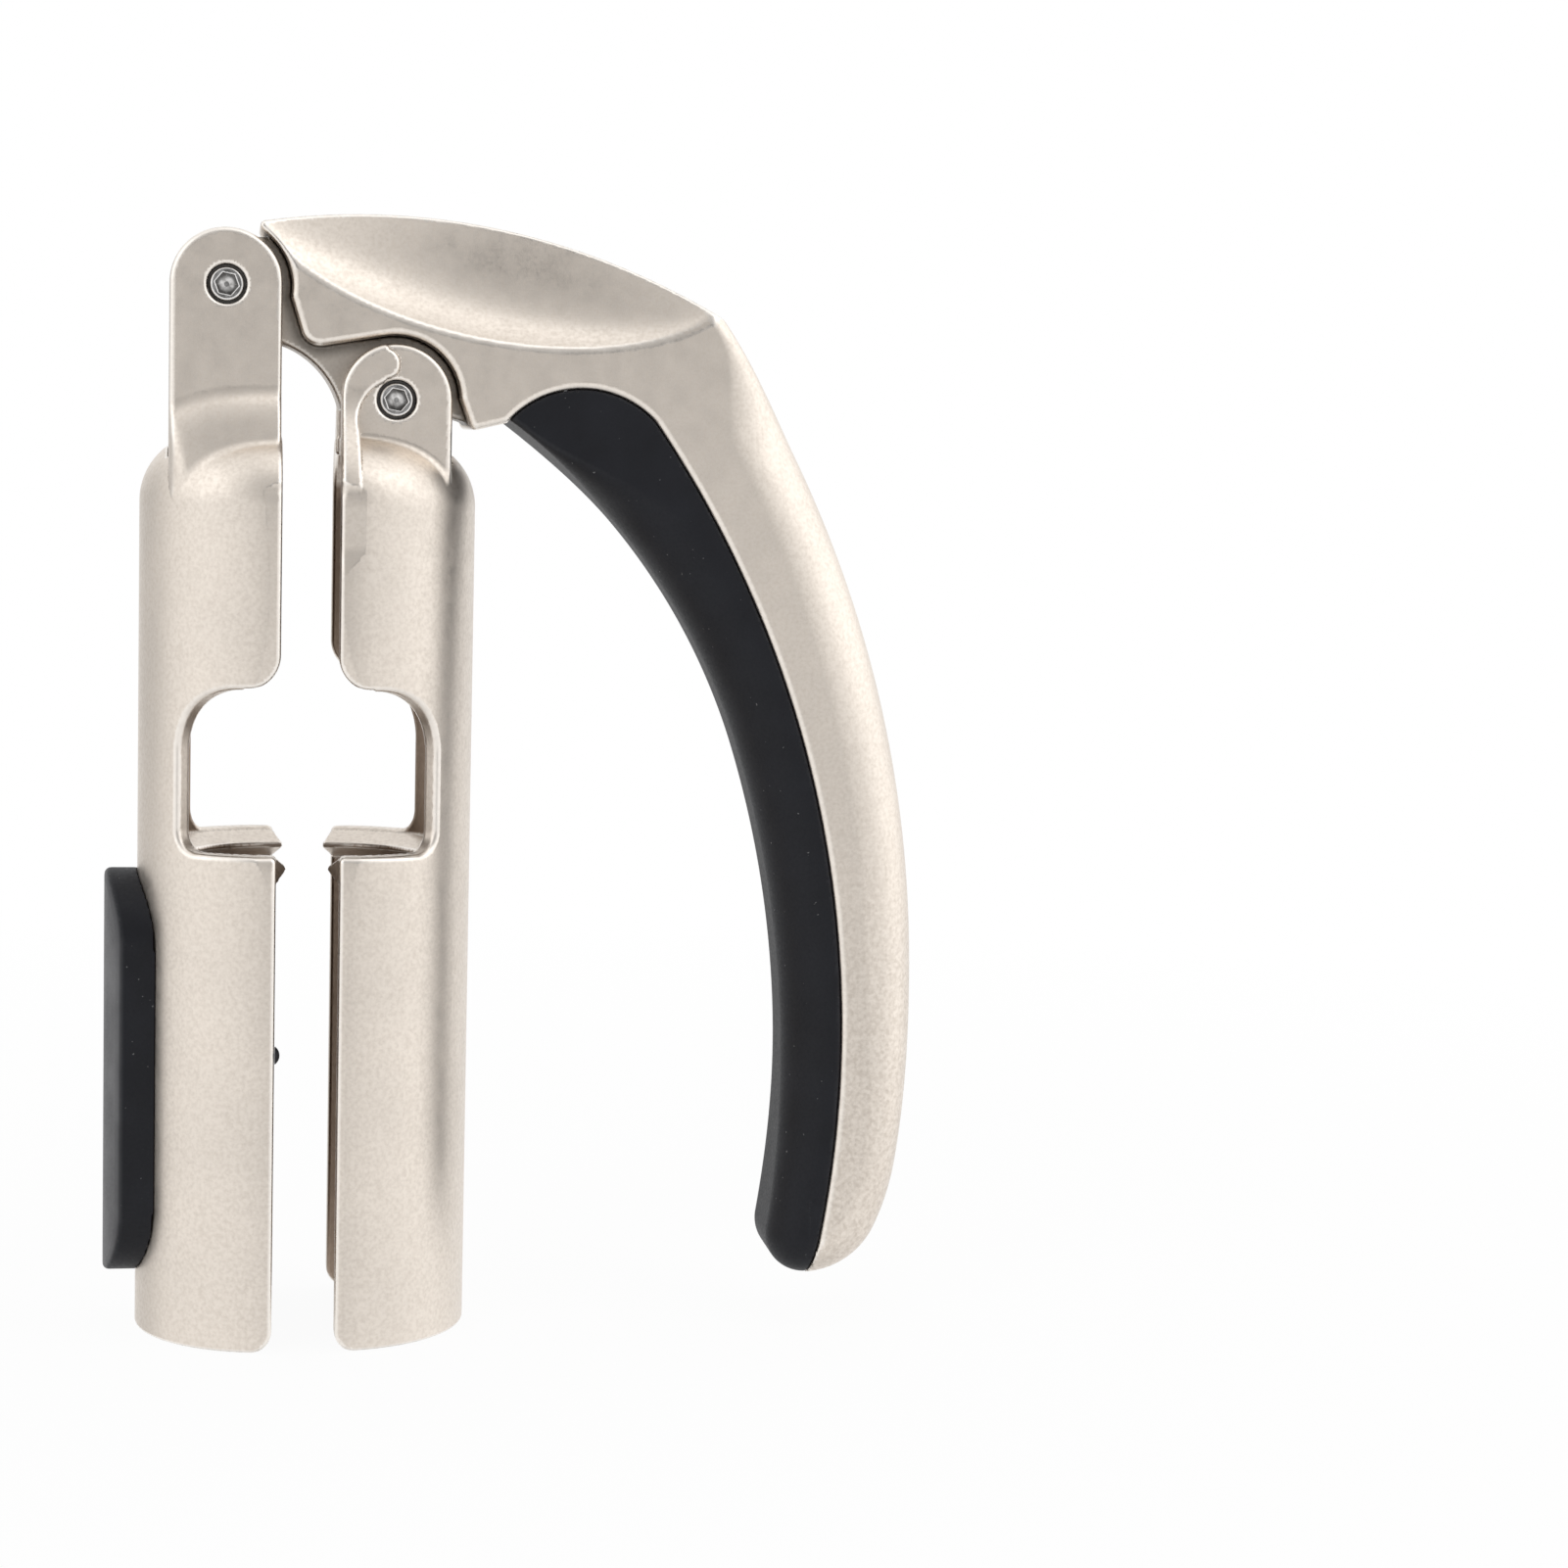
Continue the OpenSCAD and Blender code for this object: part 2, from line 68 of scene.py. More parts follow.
# Rounds in which points settle on a surface, and the least square of a slope that they follow
SETTLE_ROUNDS = 4
LEAST_STEEP = 0.05
# Least length that divides a vector
LEAST_LENGTH = 1e-6

# Jaws
JAW_R = 18.0
JAW_WALL = 2.6
BORE_R = JAW_R - JAW_WALL
JAW_SPACING = 8.1
UPPER_EDGE = 0.35
RIM_CORNER_R = 3.0
SHOULDER_Z = 110.7
SHOULDER_R = 9.0
DOME_Z = SHOULDER_Z + SHOULDER_R
HOLLOW_Z = DOME_Z - JAW_WALL
EDGE_R = 0.55
CUT_EDGE_R = 0.4

# Facets along the cut edges: width at the middle, and growth with the height over which it comes.
# Below the window: the least width, and its growth at the window's foot.
FACET_LEAN = math.radians(6)
FACET_TOP = 112.5
FACET_FADE = 0.25
FACET_DOME_SHARE = 0.985
FIXED_FACET_Z = 99.0
FIXED_FACET = 1.2
FIXED_FACET_UP = (1.2, 16.0)
FIXED_FACET_DOWN = (1.5, 11.0)
FIXED_FACET_MOST = 3.0
FIXED_FACET_LOW = 0.15
FIXED_FACET_RIM = 2.9
MOVING_FACET_Z = 100.0
MOVING_FACET = 0.05
MOVING_FACET_DOWN = (2.4, 12.0)
MOVING_FACET_REACH = 13.0
MOVING_FACET_UP = 2.85
MOVING_FACET_UP_FADE = (101.2, 4.5)
MOVING_FACET_LOW = 1.2
MOVING_FACET_RIM = 1.5
FACET_RIM_DECAY = 3.5

# Cork window and claw ring
WINDOW_Z = 65.6
WINDOW_TOP = 87.1
WINDOW_MID = 76.0
WINDOW_TOP_R = 8.5
WINDOW_FOOT_R = 3.0
WINDOW_LIP_R = 4.5
WINDOW_EDGE_R = 0.75
CLAW_R = 12.0
CLAW_TOP = 63.7
CLAW_FOOT = 63.1
CLAW_ROOT_R = 16.05
CLAW_SLOPE = math.atan2(WINDOW_Z - CLAW_TOP, CLAW_ROOT_R - CLAW_R)
CLAW_PAST = 1.4
CLAW_SLANT = math.radians(22)
CLAW_EDGE_R = 0.3
CLAW_END_R = 0.25
CLAW_FILLET = 0.3

# Pivots and ears
UPPER_PIVOT = (-6.9, 138.85)
LOWER_PIVOT = (15.0, 124.65)
EAR_R = 7.25
EAR_OUT = 10.5
EAR_IN = 6.7
EAR_EDGE_R = 0.75
EAR_FOOT_Z = 113.0
FIXED_FOOT_R = 2.0
MOVING_FOOT_R = 0.7
HOLE_R = 2.55
HOLE_EDGE_R = 0.45
# Reach up the ear and out along the dome of the two slopes of the flare
FLARE_UPPER = (5.6, 4.5)
FLARE_LOWER = (7.8, 2.7)
FLARE_SOFT = 0.6

# Raised strip on the moving jaw's ears, and the round pocket beside it with its curled end
STRIP_OUT = 11.7
STRIP_FOOT_Z = 100.0
STRIP_EDGE_R = 0.5
STRIP_FILLET_LEAST = 0.1
STRIP_FILLET = 7.0
STRIP_FILLET_FADE = (103.0, 11.0)
POCKET_C = (15.4, 121.9)
POCKET_R = 5.4
POCKET_X = 10.2
POCKET_LEAN = 0.06
POCKET_LEAN_Z = 120.0
CURL_X = 13.9
CURL_C = (13.2, 129.2)
CURL_R = 2.1
CURL_FILLET = 0.8

# Pivot screws
HEAD_R = 2.15
HEAD_T = 1.5
HEAD_RECESS = 0.35
HEAD_EDGE_R = 0.3
SOCKET_HALF = 1.3
SOCKET_DEPTH = 1.1
SOCKET_SLOPE = 0.3
SOCKET_TURN = 20.0
SOCKET_EDGE_R = 0.15
SHANK_R = 1.4
SHANK_L = 10.0
SHANK_START = 1.0

# Lever
CREST_C = (13.8, 63.4)
CREST_R = 85.2
BACK_C = (-70.55, 45.5)
BACK_R = 157.4
BACK_ROUND = 8.0
BACK_TOP_ROUND = 2.0
BACK_FADE_Z = 118.0
BACK_FADE = 17.0
# Heel and end of the handle: arcs that touch the back and one another
HEEL_R = 34.0
HEEL_ANGLE = math.radians(8.6)
HEEL_C = (
    BACK_C[0] + (BACK_R - HEEL_R) * math.cos(HEEL_ANGLE),
    BACK_C[1] - (BACK_R - HEEL_R) * math.sin(HEEL_ANGLE),
)
END_R = 11.0
END_ANGLE = math.radians(24.2)
END_C = (
    HEEL_C[0] + (HEEL_R - END_R) * math.cos(END_ANGLE),
    HEEL_C[1] - (HEEL_R - END_R) * math.sin(END_ANGLE),
)
END_ROUND = 5.8
END_FADE = 30.0
SEAM_C = (-69.5, 37.8)
SEAM_R = 145.7
SEAM_TOP_Z = 121.0
SEAM_GAP = 0.06
GRIP_TOP_C = (39.5, 113.5)
GRIP_TOP_R = 13.15
STEP_R = 8.35
LEVER_EDGE_R = 0.9
CREST_EDGE_R = 0.8
TIP_X = -3.0
TIP_R = 1.0
STOP_ANGLE = math.radians(17)
STOP_REACH = 7.525
FACE_ANGLE = math.radians(20)
FACE_REACH = 7.98
LOBE = ((3.1, 130.95), (13.49, 132.86))
LOBE_R = 2.2
UNDER = ((24.9, 120.9), (29.53, 122.08))
UNDER_R = 0.6
TONGUE_HALF = 6.4
TONGUE_TIP = (25.5, 121.6)
TONGUE_TOP = ((33.0, 128.5), (0.0, 145.0))
TONGUE_FOOT = ((22.0, 128.0), (5.0, 142.0))
TONGUE_EDGE_R = 0.6
TONGUE_FILLET = 0.4
BOSS_R = 6.6
WEB_C = (-3.4, 120.5)
WEB_R = 11.6
SCOOP_MID = (27.4, 146.65)
SCOOP_Y = 27.5
SCOOP_R = 22.0
SCOOP_ARC_R = 107.3
SCOOP_SLOPE = math.radians(10.1)
SCOOP_FLOOR = 0.7
SCOOP_EDGE_R = 0.45
# Least values under the scoop's square roots, for places past its ends
SCOOP_ARC_LEAST = 1.0
SCOOP_RIM_LEAST = 0.01

# Grip
GRIP_UPPER_C = (-19.97, 51.93)
GRIP_UPPER_R = 86.3
GRIP_LOWER_R = 143.0
GRIP_BEND_ANGLE = math.radians(18.1)
GRIP_BEND = (
    GRIP_UPPER_C[0] + GRIP_UPPER_R * math.cos(GRIP_BEND_ANGLE),
    GRIP_UPPER_C[1] + GRIP_UPPER_R * math.sin(GRIP_BEND_ANGLE),
)
GRIP_LOWER_C = (
    GRIP_BEND[0] - GRIP_LOWER_R * math.cos(GRIP_BEND_ANGLE),
    GRIP_BEND[1] - GRIP_LOWER_R * math.sin(GRIP_BEND_ANGLE),
)
GRIP_ROUND = 7.5
GRIP_TOP_ROUND = 0.8
GRIP_TOP_FADE = (109.0, 12.0)
GRIP_INSET = 0.4
GRIP_OUT = EAR_OUT - GRIP_INSET
GRIP_EDGE_R = 0.25
GRIP_LEFT = GRIP_TOP_C[0] - 1.5 * GRIP_TOP_R
# Corner between the grip's inner face and its end: an arc that touches both
CORNER_ANGLE = math.radians(273)
CORNER_WAY = (math.cos(CORNER_ANGLE), math.sin(CORNER_ANGLE))
END_POINT = (
    END_C[0] + END_R * CORNER_WAY[0] - GRIP_LOWER_C[0],
    END_C[1] + END_R * CORNER_WAY[1] - GRIP_LOWER_C[1],
)
CORNER_R = (math.hypot(*END_POINT) ** 2 - GRIP_LOWER_R**2) / 2
CORNER_R /= GRIP_LOWER_R + END_POINT[0] * CORNER_WAY[0] + END_POINT[1] * CORNER_WAY[1]
CORNER_C = (
    END_C[0] + (END_R - CORNER_R) * CORNER_WAY[0],
    END_C[1] + (END_R - CORNER_R) * CORNER_WAY[1],
)

# Pad and bumper
PAD_T = 4.3
PAD_R = JAW_R + PAD_T
PAD_SEAT_R = JAW_R + SEAM_GAP
PAD_EDGE_R = 0.8
PAD_HALF = 9.5
PAD_ENDS = (17.0, 52.3)
PEGS = (20.8, 48.5)
PEG_R = 2.5
PEG_ROOT = 0.5
PEG_HOLE_EDGE_R = 0.2
BUMPER = (0.0, -16.7, 39.5)
BUMPER_R = 1.25
BUMPER_T = 0.7
BUMPER_EDGE_R = 0.1

# Marks of wear, dust, painted highlight and painted shade: the value at which a mark starts, and the
# span to its full strength
EDGE_WEAR_AND_HIGHLIGHT_FADE = (0.12, 0.5)
# Painted shade in concave creases, weaker on the jaws
CREVICE_FADE = (0.08, 0.4)
JAW_CREVICE = 0.35
# Painted shade inside the jaws' bores
BORE_FACING_FADE = (0.125, 0.625)
BORE_LEVEL_FADE = (0.5, -0.25)
# Painted shade on the lever's tongue, in the deep gap beside the head's step
TONGUE_DEPTH_FADE = (TONGUE_HALF + 1.2, -0.8)
TONGUE_STEP_FADE = (0.05, 0.25)
TONGUE_SHADE_FADE = (2.2, -2.2)
TONGUE_SHADE_LEAST = 0.35
TONGUE_SPARED = 0.02
# Painted shade deep in the screws' sockets
SOCKET_DEPTH_FADE = (0.15, 0.3)
SOCKET_WALL_FADE = (0.65, 0.5)
HANDLE_HEIGHT_FADE = (95.0, -60.0)
HANDLE_SIDE_FADE = (40.0, 5.0)
PAD_FACE_FADE = (PAD_R - 0.5, 0.4)

# Patterns in the materials: scale and detail of the noise
METAL_GRAIN = (1900, 4)
METAL_SMEARS = (420, 3)
METAL_BLOTCHES = (1500, 2)
METAL_CLOUD_DETAIL = 2
RUBBER_GRAIN = (2600, 4)
RUBBER_CLOUDS = (130, 3)
RUBBER_SPECKS = (1500, 1)
# Part of a noise's range in which a pattern goes from none to full
CLOUD_RANGE = (0.35, 0.65)
GRAIN_RANGE = (0.38, 0.72)
BLOTCH_RANGE = (0.42, 0.66)
SPECK_RANGE = (0.76, 0.82)
ROUGH_RANGE = (0.3, 0.7)
# Share of the colour that a pattern or a mark takes at its full strength
GRAIN_SHARE = 0.25
BLOTCH_SHARE = 0.30
# Convex edges take a paler colour: real wear, and a painted highlight
WORN_AND_HIGHLIGHT_SHARE = 0.7
CREASE_SHADE_SHARE = 0.85
BORE_SHADE_SHARE = 0.9
RUBBED_SHARE = 0.5
SPECK_SHARE = 0.5
# Changes of the metal's roughness, and the rubber's roughness and shine
GRAIN_ROUGH = 0.05
SMEAR_ROUGH = 0.03
WORN_POLISH = 0.08
RUBBER_ROUGH = (0.46, 0.60)
RUBBER_SHINE = 0.30
# Bump of the grain: strength and height
METAL_BUMP = (0.12, 0.02)
RUBBER_BUMP = (0.35, 0.04)
# Inputs of a colour mix, its share first, and its colour output
MIX_INPUTS = (0, 6, 7)
MIX_OUTPUT = 2


# Ways to join fields


def round_max(a, b, r):
    """Where two solids overlap, with their shared edge rounded."""
    corner = np.hypot(np.maximum(a + r, 0), np.maximum(b + r, 0))
    return np.minimum(np.maximum(a, b), -r) + corner


def round_min(a, b, r):
    """Two solids together, with a fillet between them."""
    return -round_max(-a, -b, r)


def soft_min(a, b, reach):
    """Union of two fields with a soft corner, also where they meet at a flat angle."""
    return np.minimum(a, b) - np.maximum(reach - np.abs(a - b), 0) ** 2 / (4 * reach)


def greatest(*fields):
    result = fields[0]
    for field in fields[1:]:
        result = np.maximum(result, field)
    return result


def least(*fields):
    result = fields[0]
    for field in fields[1:]:
        result = np.minimum(result, field)
    return result


def ease(t):
    """Smooth step from 0 to 1."""
    t = np.clip(t, 0, 1)
    return t * t * (3 - 2 * t)


def fade(value, start, span):
    """Smooth step from 0 where a value starts to 1 a span further on."""
    return ease((value - start) / span)


def circle(x, z, centre, r):
    return np.hypot(x - centre[0], z - centre[1]) - r


def line_side(x, z, start, end):
    """Distance to the right of a line, seen along it from start to end."""
    along = np.subtract(end, start) / math.dist(start, end)
    return (x - start[0]) * along[1] - (z - start[1]) * along[0]


def convex(x, z, corners):
    """Inside of a convex outline whose corners run anticlockwise."""
    sides = [line_side(x, z, p, q) for p, q in zip(corners, corners[1:] + corners[:1])]
    return greatest(*sides)


# Fields of the pieces: below 0 inside, with a for the distance from the plane of symmetry


def jaw_split(x, z):
    """The jaw's own side of the split, with its rounded corners."""
    above = round_max(x - UPPER_EDGE, WINDOW_TOP - z, WINDOW_LIP_R)
    beside_lip = UPPER_EDGE - WINDOW_LIP_R - x
    above = np.where(beside_lip > 0, x - UPPER_EDGE, above)
    below = round_max(x, -z, RIM_CORNER_R)
    return np.where(z > WINDOW_MID, above, below)


def jaw_window(x, a, z):
    """The half of the cork window in one jaw."""
    u = (x + a) / math.sqrt(2)
    top = round_max(-u, z - WINDOW_TOP, WINDOW_TOP_R)
    foot = round_max(-u, WINDOW_Z - z, WINDOW_FOOT_R)
    return np.maximum(top, foot)


def jaw_claw(x, a, z):
    """Half of the ring of claws that holds the bottle's lip."""
    r = np.hypot(x, a)
    slope, level = math.sin(CLAW_SLOPE), math.cos(CLAW_SLOPE)
    top = level * (z - CLAW_TOP) - slope * (r - CLAW_R)
    foot = level * (CLAW_FOOT - z) - slope * (r - CLAW_R)
    wedge = greatest(round_max(top, CLAW_R - r, CLAW_EDGE_R), foot, r - CLAW_ROOT_R)
    end = math.cos(CLAW_SLANT) * (x - CLAW_PAST) + math.sin(CLAW_SLANT) * (r - CLAW_R)
    return round_max(wedge, end, CLAW_END_R)


def facet(x, a, z, start):
    """Flat along the cut edge, which starts at x = start and leans towards the split."""
    rise = np.clip(z - SHOULDER_Z, 0, FACET_DOME_SHARE * SHOULDER_R)
    dome_r = JAW_R - SHOULDER_R + np.sqrt(SHOULDER_R**2 - rise**2)
    edge_a = np.sqrt(dome_r**2 - start**2) + FACET_FADE * np.maximum(z - FACET_TOP, 0) ** 2
    return math.cos(FACET_LEAN) * (a - edge_a) + math.sin(FACET_LEAN) * (x - start)


def growth(away, amount, height):
    """Growth of a facet at a distance from its middle."""
    return amount * (away / height) ** 2


def under_window(z):
    """1 at the window's foot, and less below it."""
    return np.exp(np.minimum(z - WINDOW_Z, 0) / FACET_RIM_DECAY)


def fixed_facet_start(z):
    """The fixed jaw's facet widens away from its middle, and under the window."""
    away = z - FIXED_FACET_Z
    grown = np.where(away > 0, growth(away, *FIXED_FACET_UP), growth(away, *FIXED_FACET_DOWN))
    upper = np.maximum(-FIXED_FACET - grown, -FIXED_FACET_MOST)
    lower = -FIXED_FACET_LOW - FIXED_FACET_RIM * under_window(z)
    return np.where(z > WINDOW_MID, upper, lower)


def moving_facet_start(z):
    """The moving jaw's facet widens beside the strip, and both above and under the window."""
    grown = growth(np.clip(MOVING_FACET_Z - z, 0, MOVING_FACET_REACH), *MOVING_FACET_DOWN)
    upper = -MOVING_FACET - grown - MOVING_FACET_UP * fade(z, *MOVING_FACET_UP_FADE)
    lower = -MOVING_FACET_LOW - MOVING_FACET_RIM * under_window(z)
    return np.where(z > WINDOW_MID, upper, lower)


def jaw_field(x, y, z, pivot, facet_start, plate):
    """One jaw in its own frame: its axis at x = 0, open towards +x."""
    a = np.abs(y)
    r = np.hypot(x, y)
    outside = round_max(r - JAW_R, z - DOME_Z, SHOULDER_R)
    outside = np.maximum(outside, facet(x, a, z, facet_start(z)))
    hollow = round_max(r - BORE_R, z - HOLLOW_Z, SHOULDER_R - JAW_WALL)
    ear = np.hypot(x - pivot[0], np.maximum(z - pivot[1], 0)) - EAR_R
    body = np.minimum(outside, plate(x, a, z, outside, ear))
    slot = greatest(a - EAR_IN, SHOULDER_Z - z, pivot[0] - EAR_R - x)
    body = round_max(body, -hollow, CUT_EDGE_R)
    body = round_max(body, -slot, CUT_EDGE_R)
    body = round_max(body, jaw_split(x, z), EDGE_R)
    body = round_max(body, -z, EDGE_R)
    body = round_max(body, -jaw_window(x, a, z), WINDOW_EDGE_R)
    body = round_min(body, jaw_claw(x, a, z), CLAW_FILLET)
    return round_max(body, -circle(x, z, pivot, HOLE_R), HOLE_EDGE_R)


def fixed_plate(x, a, z, outside, ear):
    """Plain ear with a flare at its foot, which runs out on the dome."""
    wall = round_max(a - EAR_OUT, EAR_FOOT_Z - z, FIXED_FOOT_R)
    flare = np.hypot(x, a) - JAW_R
    for up, out in (FLARE_UPPER, FLARE_LOWER):
        slope = (outside / up + wall / out - 1) / math.hypot(1 / up, 1 / out)
        flare = -soft_min(-flare, -slope, FLARE_SOFT)
    foot = soft_min(soft_min(wall, flare, FLARE_SOFT), outside, FLARE_SOFT)
    return round_max(ear, foot, EAR_EDGE_R)


def moving_plate(x, a, z, outside, ear):
    """Ear with a crisp foot, and the raised strip along its inner edge."""
    wall = np.maximum(a - EAR_OUT, EAR_FOOT_Z - z)
    flat = round_max(ear, round_min(outside, wall, MOVING_FOOT_R), EAR_EDGE_R)
    part_x = JAW_SPACING - x
    round_pocket = circle(part_x, z, POCKET_C, POCKET_R)
    pocket_side = POCKET_X + POCKET_LEAN * (POCKET_LEAN_Z - z)
    below = np.maximum(pocket_side - part_x, z - POCKET_C[1])
    curl = np.maximum(CURL_X - part_x, -circle(part_x, z, CURL_C, CURL_R))
    pocket = round_min(np.minimum(round_pocket, below), curl, CURL_FILLET)
    proud = np.maximum(a - STRIP_OUT, STRIP_FOOT_Z - z)
    fillet = STRIP_FILLET_LEAST + STRIP_FILLET * fade(z, *STRIP_FILLET_FADE)
    strip = round_min(outside, proud, fillet)
    strip = round_max(strip, -pocket, STRIP_EDGE_R)
    strip = round_max(strip, ear, EAR_EDGE_R)
    return np.minimum(flat, np.maximum(strip, np.hypot(x, a) - JAW_R))


def fixed_jaw(x, y, z):
    body = jaw_field(x, y, z, UPPER_PIVOT, fixed_facet_start, fixed_plate)
    for peg_z in PEGS:
        hole = PEG_R + SEAM_GAP - np.hypot(y, z - peg_z)
        body = np.where(x < 0, round_max(body, hole, PEG_HOLE_EDGE_R), body)
    return body


def moving_jaw(x, y, z):
    pivot = (JAW_SPACING - LOWER_PIVOT[0], LOWER_PIVOT[1])
    return jaw_field(JAW_SPACING - x, y, z, pivot, moving_facet_start, moving_plate)


def ear_room(x, z, pivot, angle, reach):
    """Room for an ear beside the head: a round seat and a straight face."""
    dx, dz = x - pivot[0], z - pivot[1]
    p = math.cos(angle) * dx + math.sin(angle) * dz
    q = math.cos(angle) * dz - math.sin(angle) * dx
    return np.minimum(np.hypot(dx, dz) - STEP_R, np.maximum(p - reach, q))


def grip_side(x, z):
    """Everything on the grip's side of the seam."""
    top = circle(x, z, GRIP_TOP_C, GRIP_TOP_R)
    right = np.maximum(GRIP_TOP_C[0] - x, z - SEAM_TOP_Z)
    return np.maximum(circle(x, z, SEAM_C, SEAM_R), least(top, right, z - GRIP_TOP_C[1]))


def handle_outline(x, z):
    """Back, heel and end of the handle from the side."""
    past_heel = line_side(x, z, BACK_C, HEEL_C) > 0
    past_end = line_side(x, z, HEEL_C, END_C) > 0
    outline = np.where(past_heel, circle(x, z, HEEL_C, HEEL_R), circle(x, z, BACK_C, BACK_R))
    return np.where(past_end, circle(x, z, END_C, END_R), outline)


def handle_back(x, a, z):
    """Back and end of the handle, rounded across."""
    before_heel = -line_side(x, z, BACK_C, HEEL_C)
    rounding = END_ROUND + (BACK_ROUND - END_ROUND) * ease(before_heel / END_FADE)
    rounding = rounding + (BACK_TOP_ROUND - rounding) * fade(z, BACK_FADE_Z, BACK_FADE)
    return round_max(handle_outline(x, z), a - EAR_OUT, rounding)


def scoop(x, a, z):
    """Hollow in the side of the head: flatter along its floor and steeper towards its rim."""
    dx, dz = x - SCOOP_MID[0], z - SCOOP_MID[1]
    along = math.cos(SCOOP_SLOPE) * dx - math.sin(SCOOP_SLOPE) * dz
    over = math.cos(SCOOP_SLOPE) * dz + math.sin(SCOOP_SLOPE) * dx
    reach = SCOOP_R - SCOOP_ARC_R + np.sqrt(np.maximum(SCOOP_ARC_R**2 - along**2, SCOOP_ARC_LEAST))
    rim = np.sqrt(np.maximum(reach**2 - (SCOOP_Y - EAR_OUT) ** 2, SCOOP_RIM_LEAST))
    over = over * (SCOOP_FLOOR + (1 - SCOOP_FLOOR) * np.minimum((over / rim) ** 2, 1))
    return np.hypot(a - SCOOP_Y, over) - reach


def tongue(x, a, z):
    """The middle of the lever, which runs between the ears of both jaws."""
    upper = (UPPER_PIVOT[0], UPPER_PIVOT[1] + BOSS_R)
    plate = convex(x, z, [UPPER_PIVOT, LOWER_PIVOT, TONGUE_TIP, *TONGUE_TOP, upper])
    foot = convex(x, z, [UPPER_PIVOT, WEB_C, LOWER_PIVOT, *TONGUE_FOOT])
    bosses = [circle(x, z, pivot, BOSS_R) for pivot in (UPPER_PIVOT, LOWER_PIVOT)]
    outline = np.maximum(least(plate, foot, *bosses), -circle(x, z, WEB_C, WEB_R))
    return round_max(outline, a - TONGUE_HALF, TONGUE_EDGE_R)


def head_outline(x, z):
    """The head and handle from the side, without the tongue."""
    upper_room = ear_room(x, z, UPPER_PIVOT, STOP_ANGLE, STOP_REACH)
    lower_room = ear_room(x, z, LOWER_PIVOT, FACE_ANGLE, FACE_REACH)
    lobe = round_max(line_side(x, z, *LOBE), -upper_room, LOBE_R)
    lobe = np.maximum(lobe, -lower_room)
    far = round_max(line_side(x, z, *UNDER), -lower_room, UNDER_R)
    over_grip = GRIP_TOP_C[0] - x
    outline = np.where(x < LOBE[1][0], lobe, np.where(over_grip > 0, far, -GRIP_TOP_R))
    outline = round_max(outline, TIP_X - x, TIP_R)
    outline = round_max(outline, circle(x, z, CREST_C, CREST_R), CREST_EDGE_R)
    return np.maximum(outline, SEAM_GAP - grip_side(x, z))


def lever(x, y, z):
    a = np.abs(y)
    head = round_max(head_outline(x, z), a - EAR_OUT, LEVER_EDGE_R)
    head = np.maximum(head, handle_back(x, a, z))
    head = round_max(head, -scoop(x, a, z), SCOOP_EDGE_R)
    body = round_min(head, tongue(x, a, z), TONGUE_FILLET)
    for pivot in (UPPER_PIVOT, LOWER_PIVOT):
        body = np.maximum(body, -circle(x, z, pivot, HOLE_R))
    return body


def lever_grip(x, y, z):
    a = np.abs(y)
    along = math.cos(GRIP_BEND_ANGLE) * (z - GRIP_BEND[1])
    along = along - math.sin(GRIP_BEND_ANGLE) * (x - GRIP_BEND[0])
    upper = -circle(x, z, GRIP_UPPER_C, GRIP_UPPER_R)
    lower = -circle(x, z, GRIP_LOWER_C, GRIP_LOWER_R)
    inner = np.where(along > 0, upper, lower)
    rounding = GRIP_ROUND + (GRIP_TOP_ROUND - GRIP_ROUND) * fade(z, *GRIP_TOP_FADE)
    rounding = rounding + (END_ROUND - rounding) * fade(z, CORNER_C[1] + END_FADE, -END_FADE)
    at_end = line_side(x, z, END_C, CORNER_C) < 0
    at_end &= line_side(x, z, HEEL_C, END_C) > 0
    at_corner = line_side(x, z, END_C, CORNER_C) > 0
    at_corner &= line_side(x, z, GRIP_LOWER_C, CORNER_C) > 0
    outline = np.where(at_corner, circle(x, z, CORNER_C, CORNER_R), inner)
    outline = np.where(at_end, circle(x, z, END_C, END_R), outline)
    inside = round_max(outline, a - GRIP_OUT, rounding)
    sides = round_max(grip_side(x, z), a - GRIP_OUT, GRIP_EDGE_R)
    return greatest(inside, sides, GRIP_LEFT - x)


def jaw_pad(x, y, z):
    r = np.hypot(x, y)
    outline = np.hypot(y, z - np.clip(z, *PAD_ENDS)) - PAD_HALF
    pad = np.maximum(round_max(outline, r - PAD_R, PAD_EDGE_R), PAD_SEAT_R - r)
    pegs = least(*[np.hypot(y, z - peg_z) - PEG_R for peg_z in PEGS])
    pegs = greatest(pegs, r - PAD_SEAT_R - PEG_ROOT, BORE_R + SEAM_GAP - r)
    return np.maximum(np.minimum(pad, pegs), x)


def jaw_bumper(x, y, z):
    """Small dome on the cut edge."""
    cap_r = (BUMPER_R**2 + BUMPER_T**2) / (2 * BUMPER_T)
    across = np.hypot(y - BUMPER[1], z - BUMPER[2])
    dome = np.hypot(across, x - BUMPER[0] - BUMPER_T + cap_r) - cap_r
    return round_max(dome, BUMPER[0] + SEAM_GAP - x, BUMPER_EDGE_R)


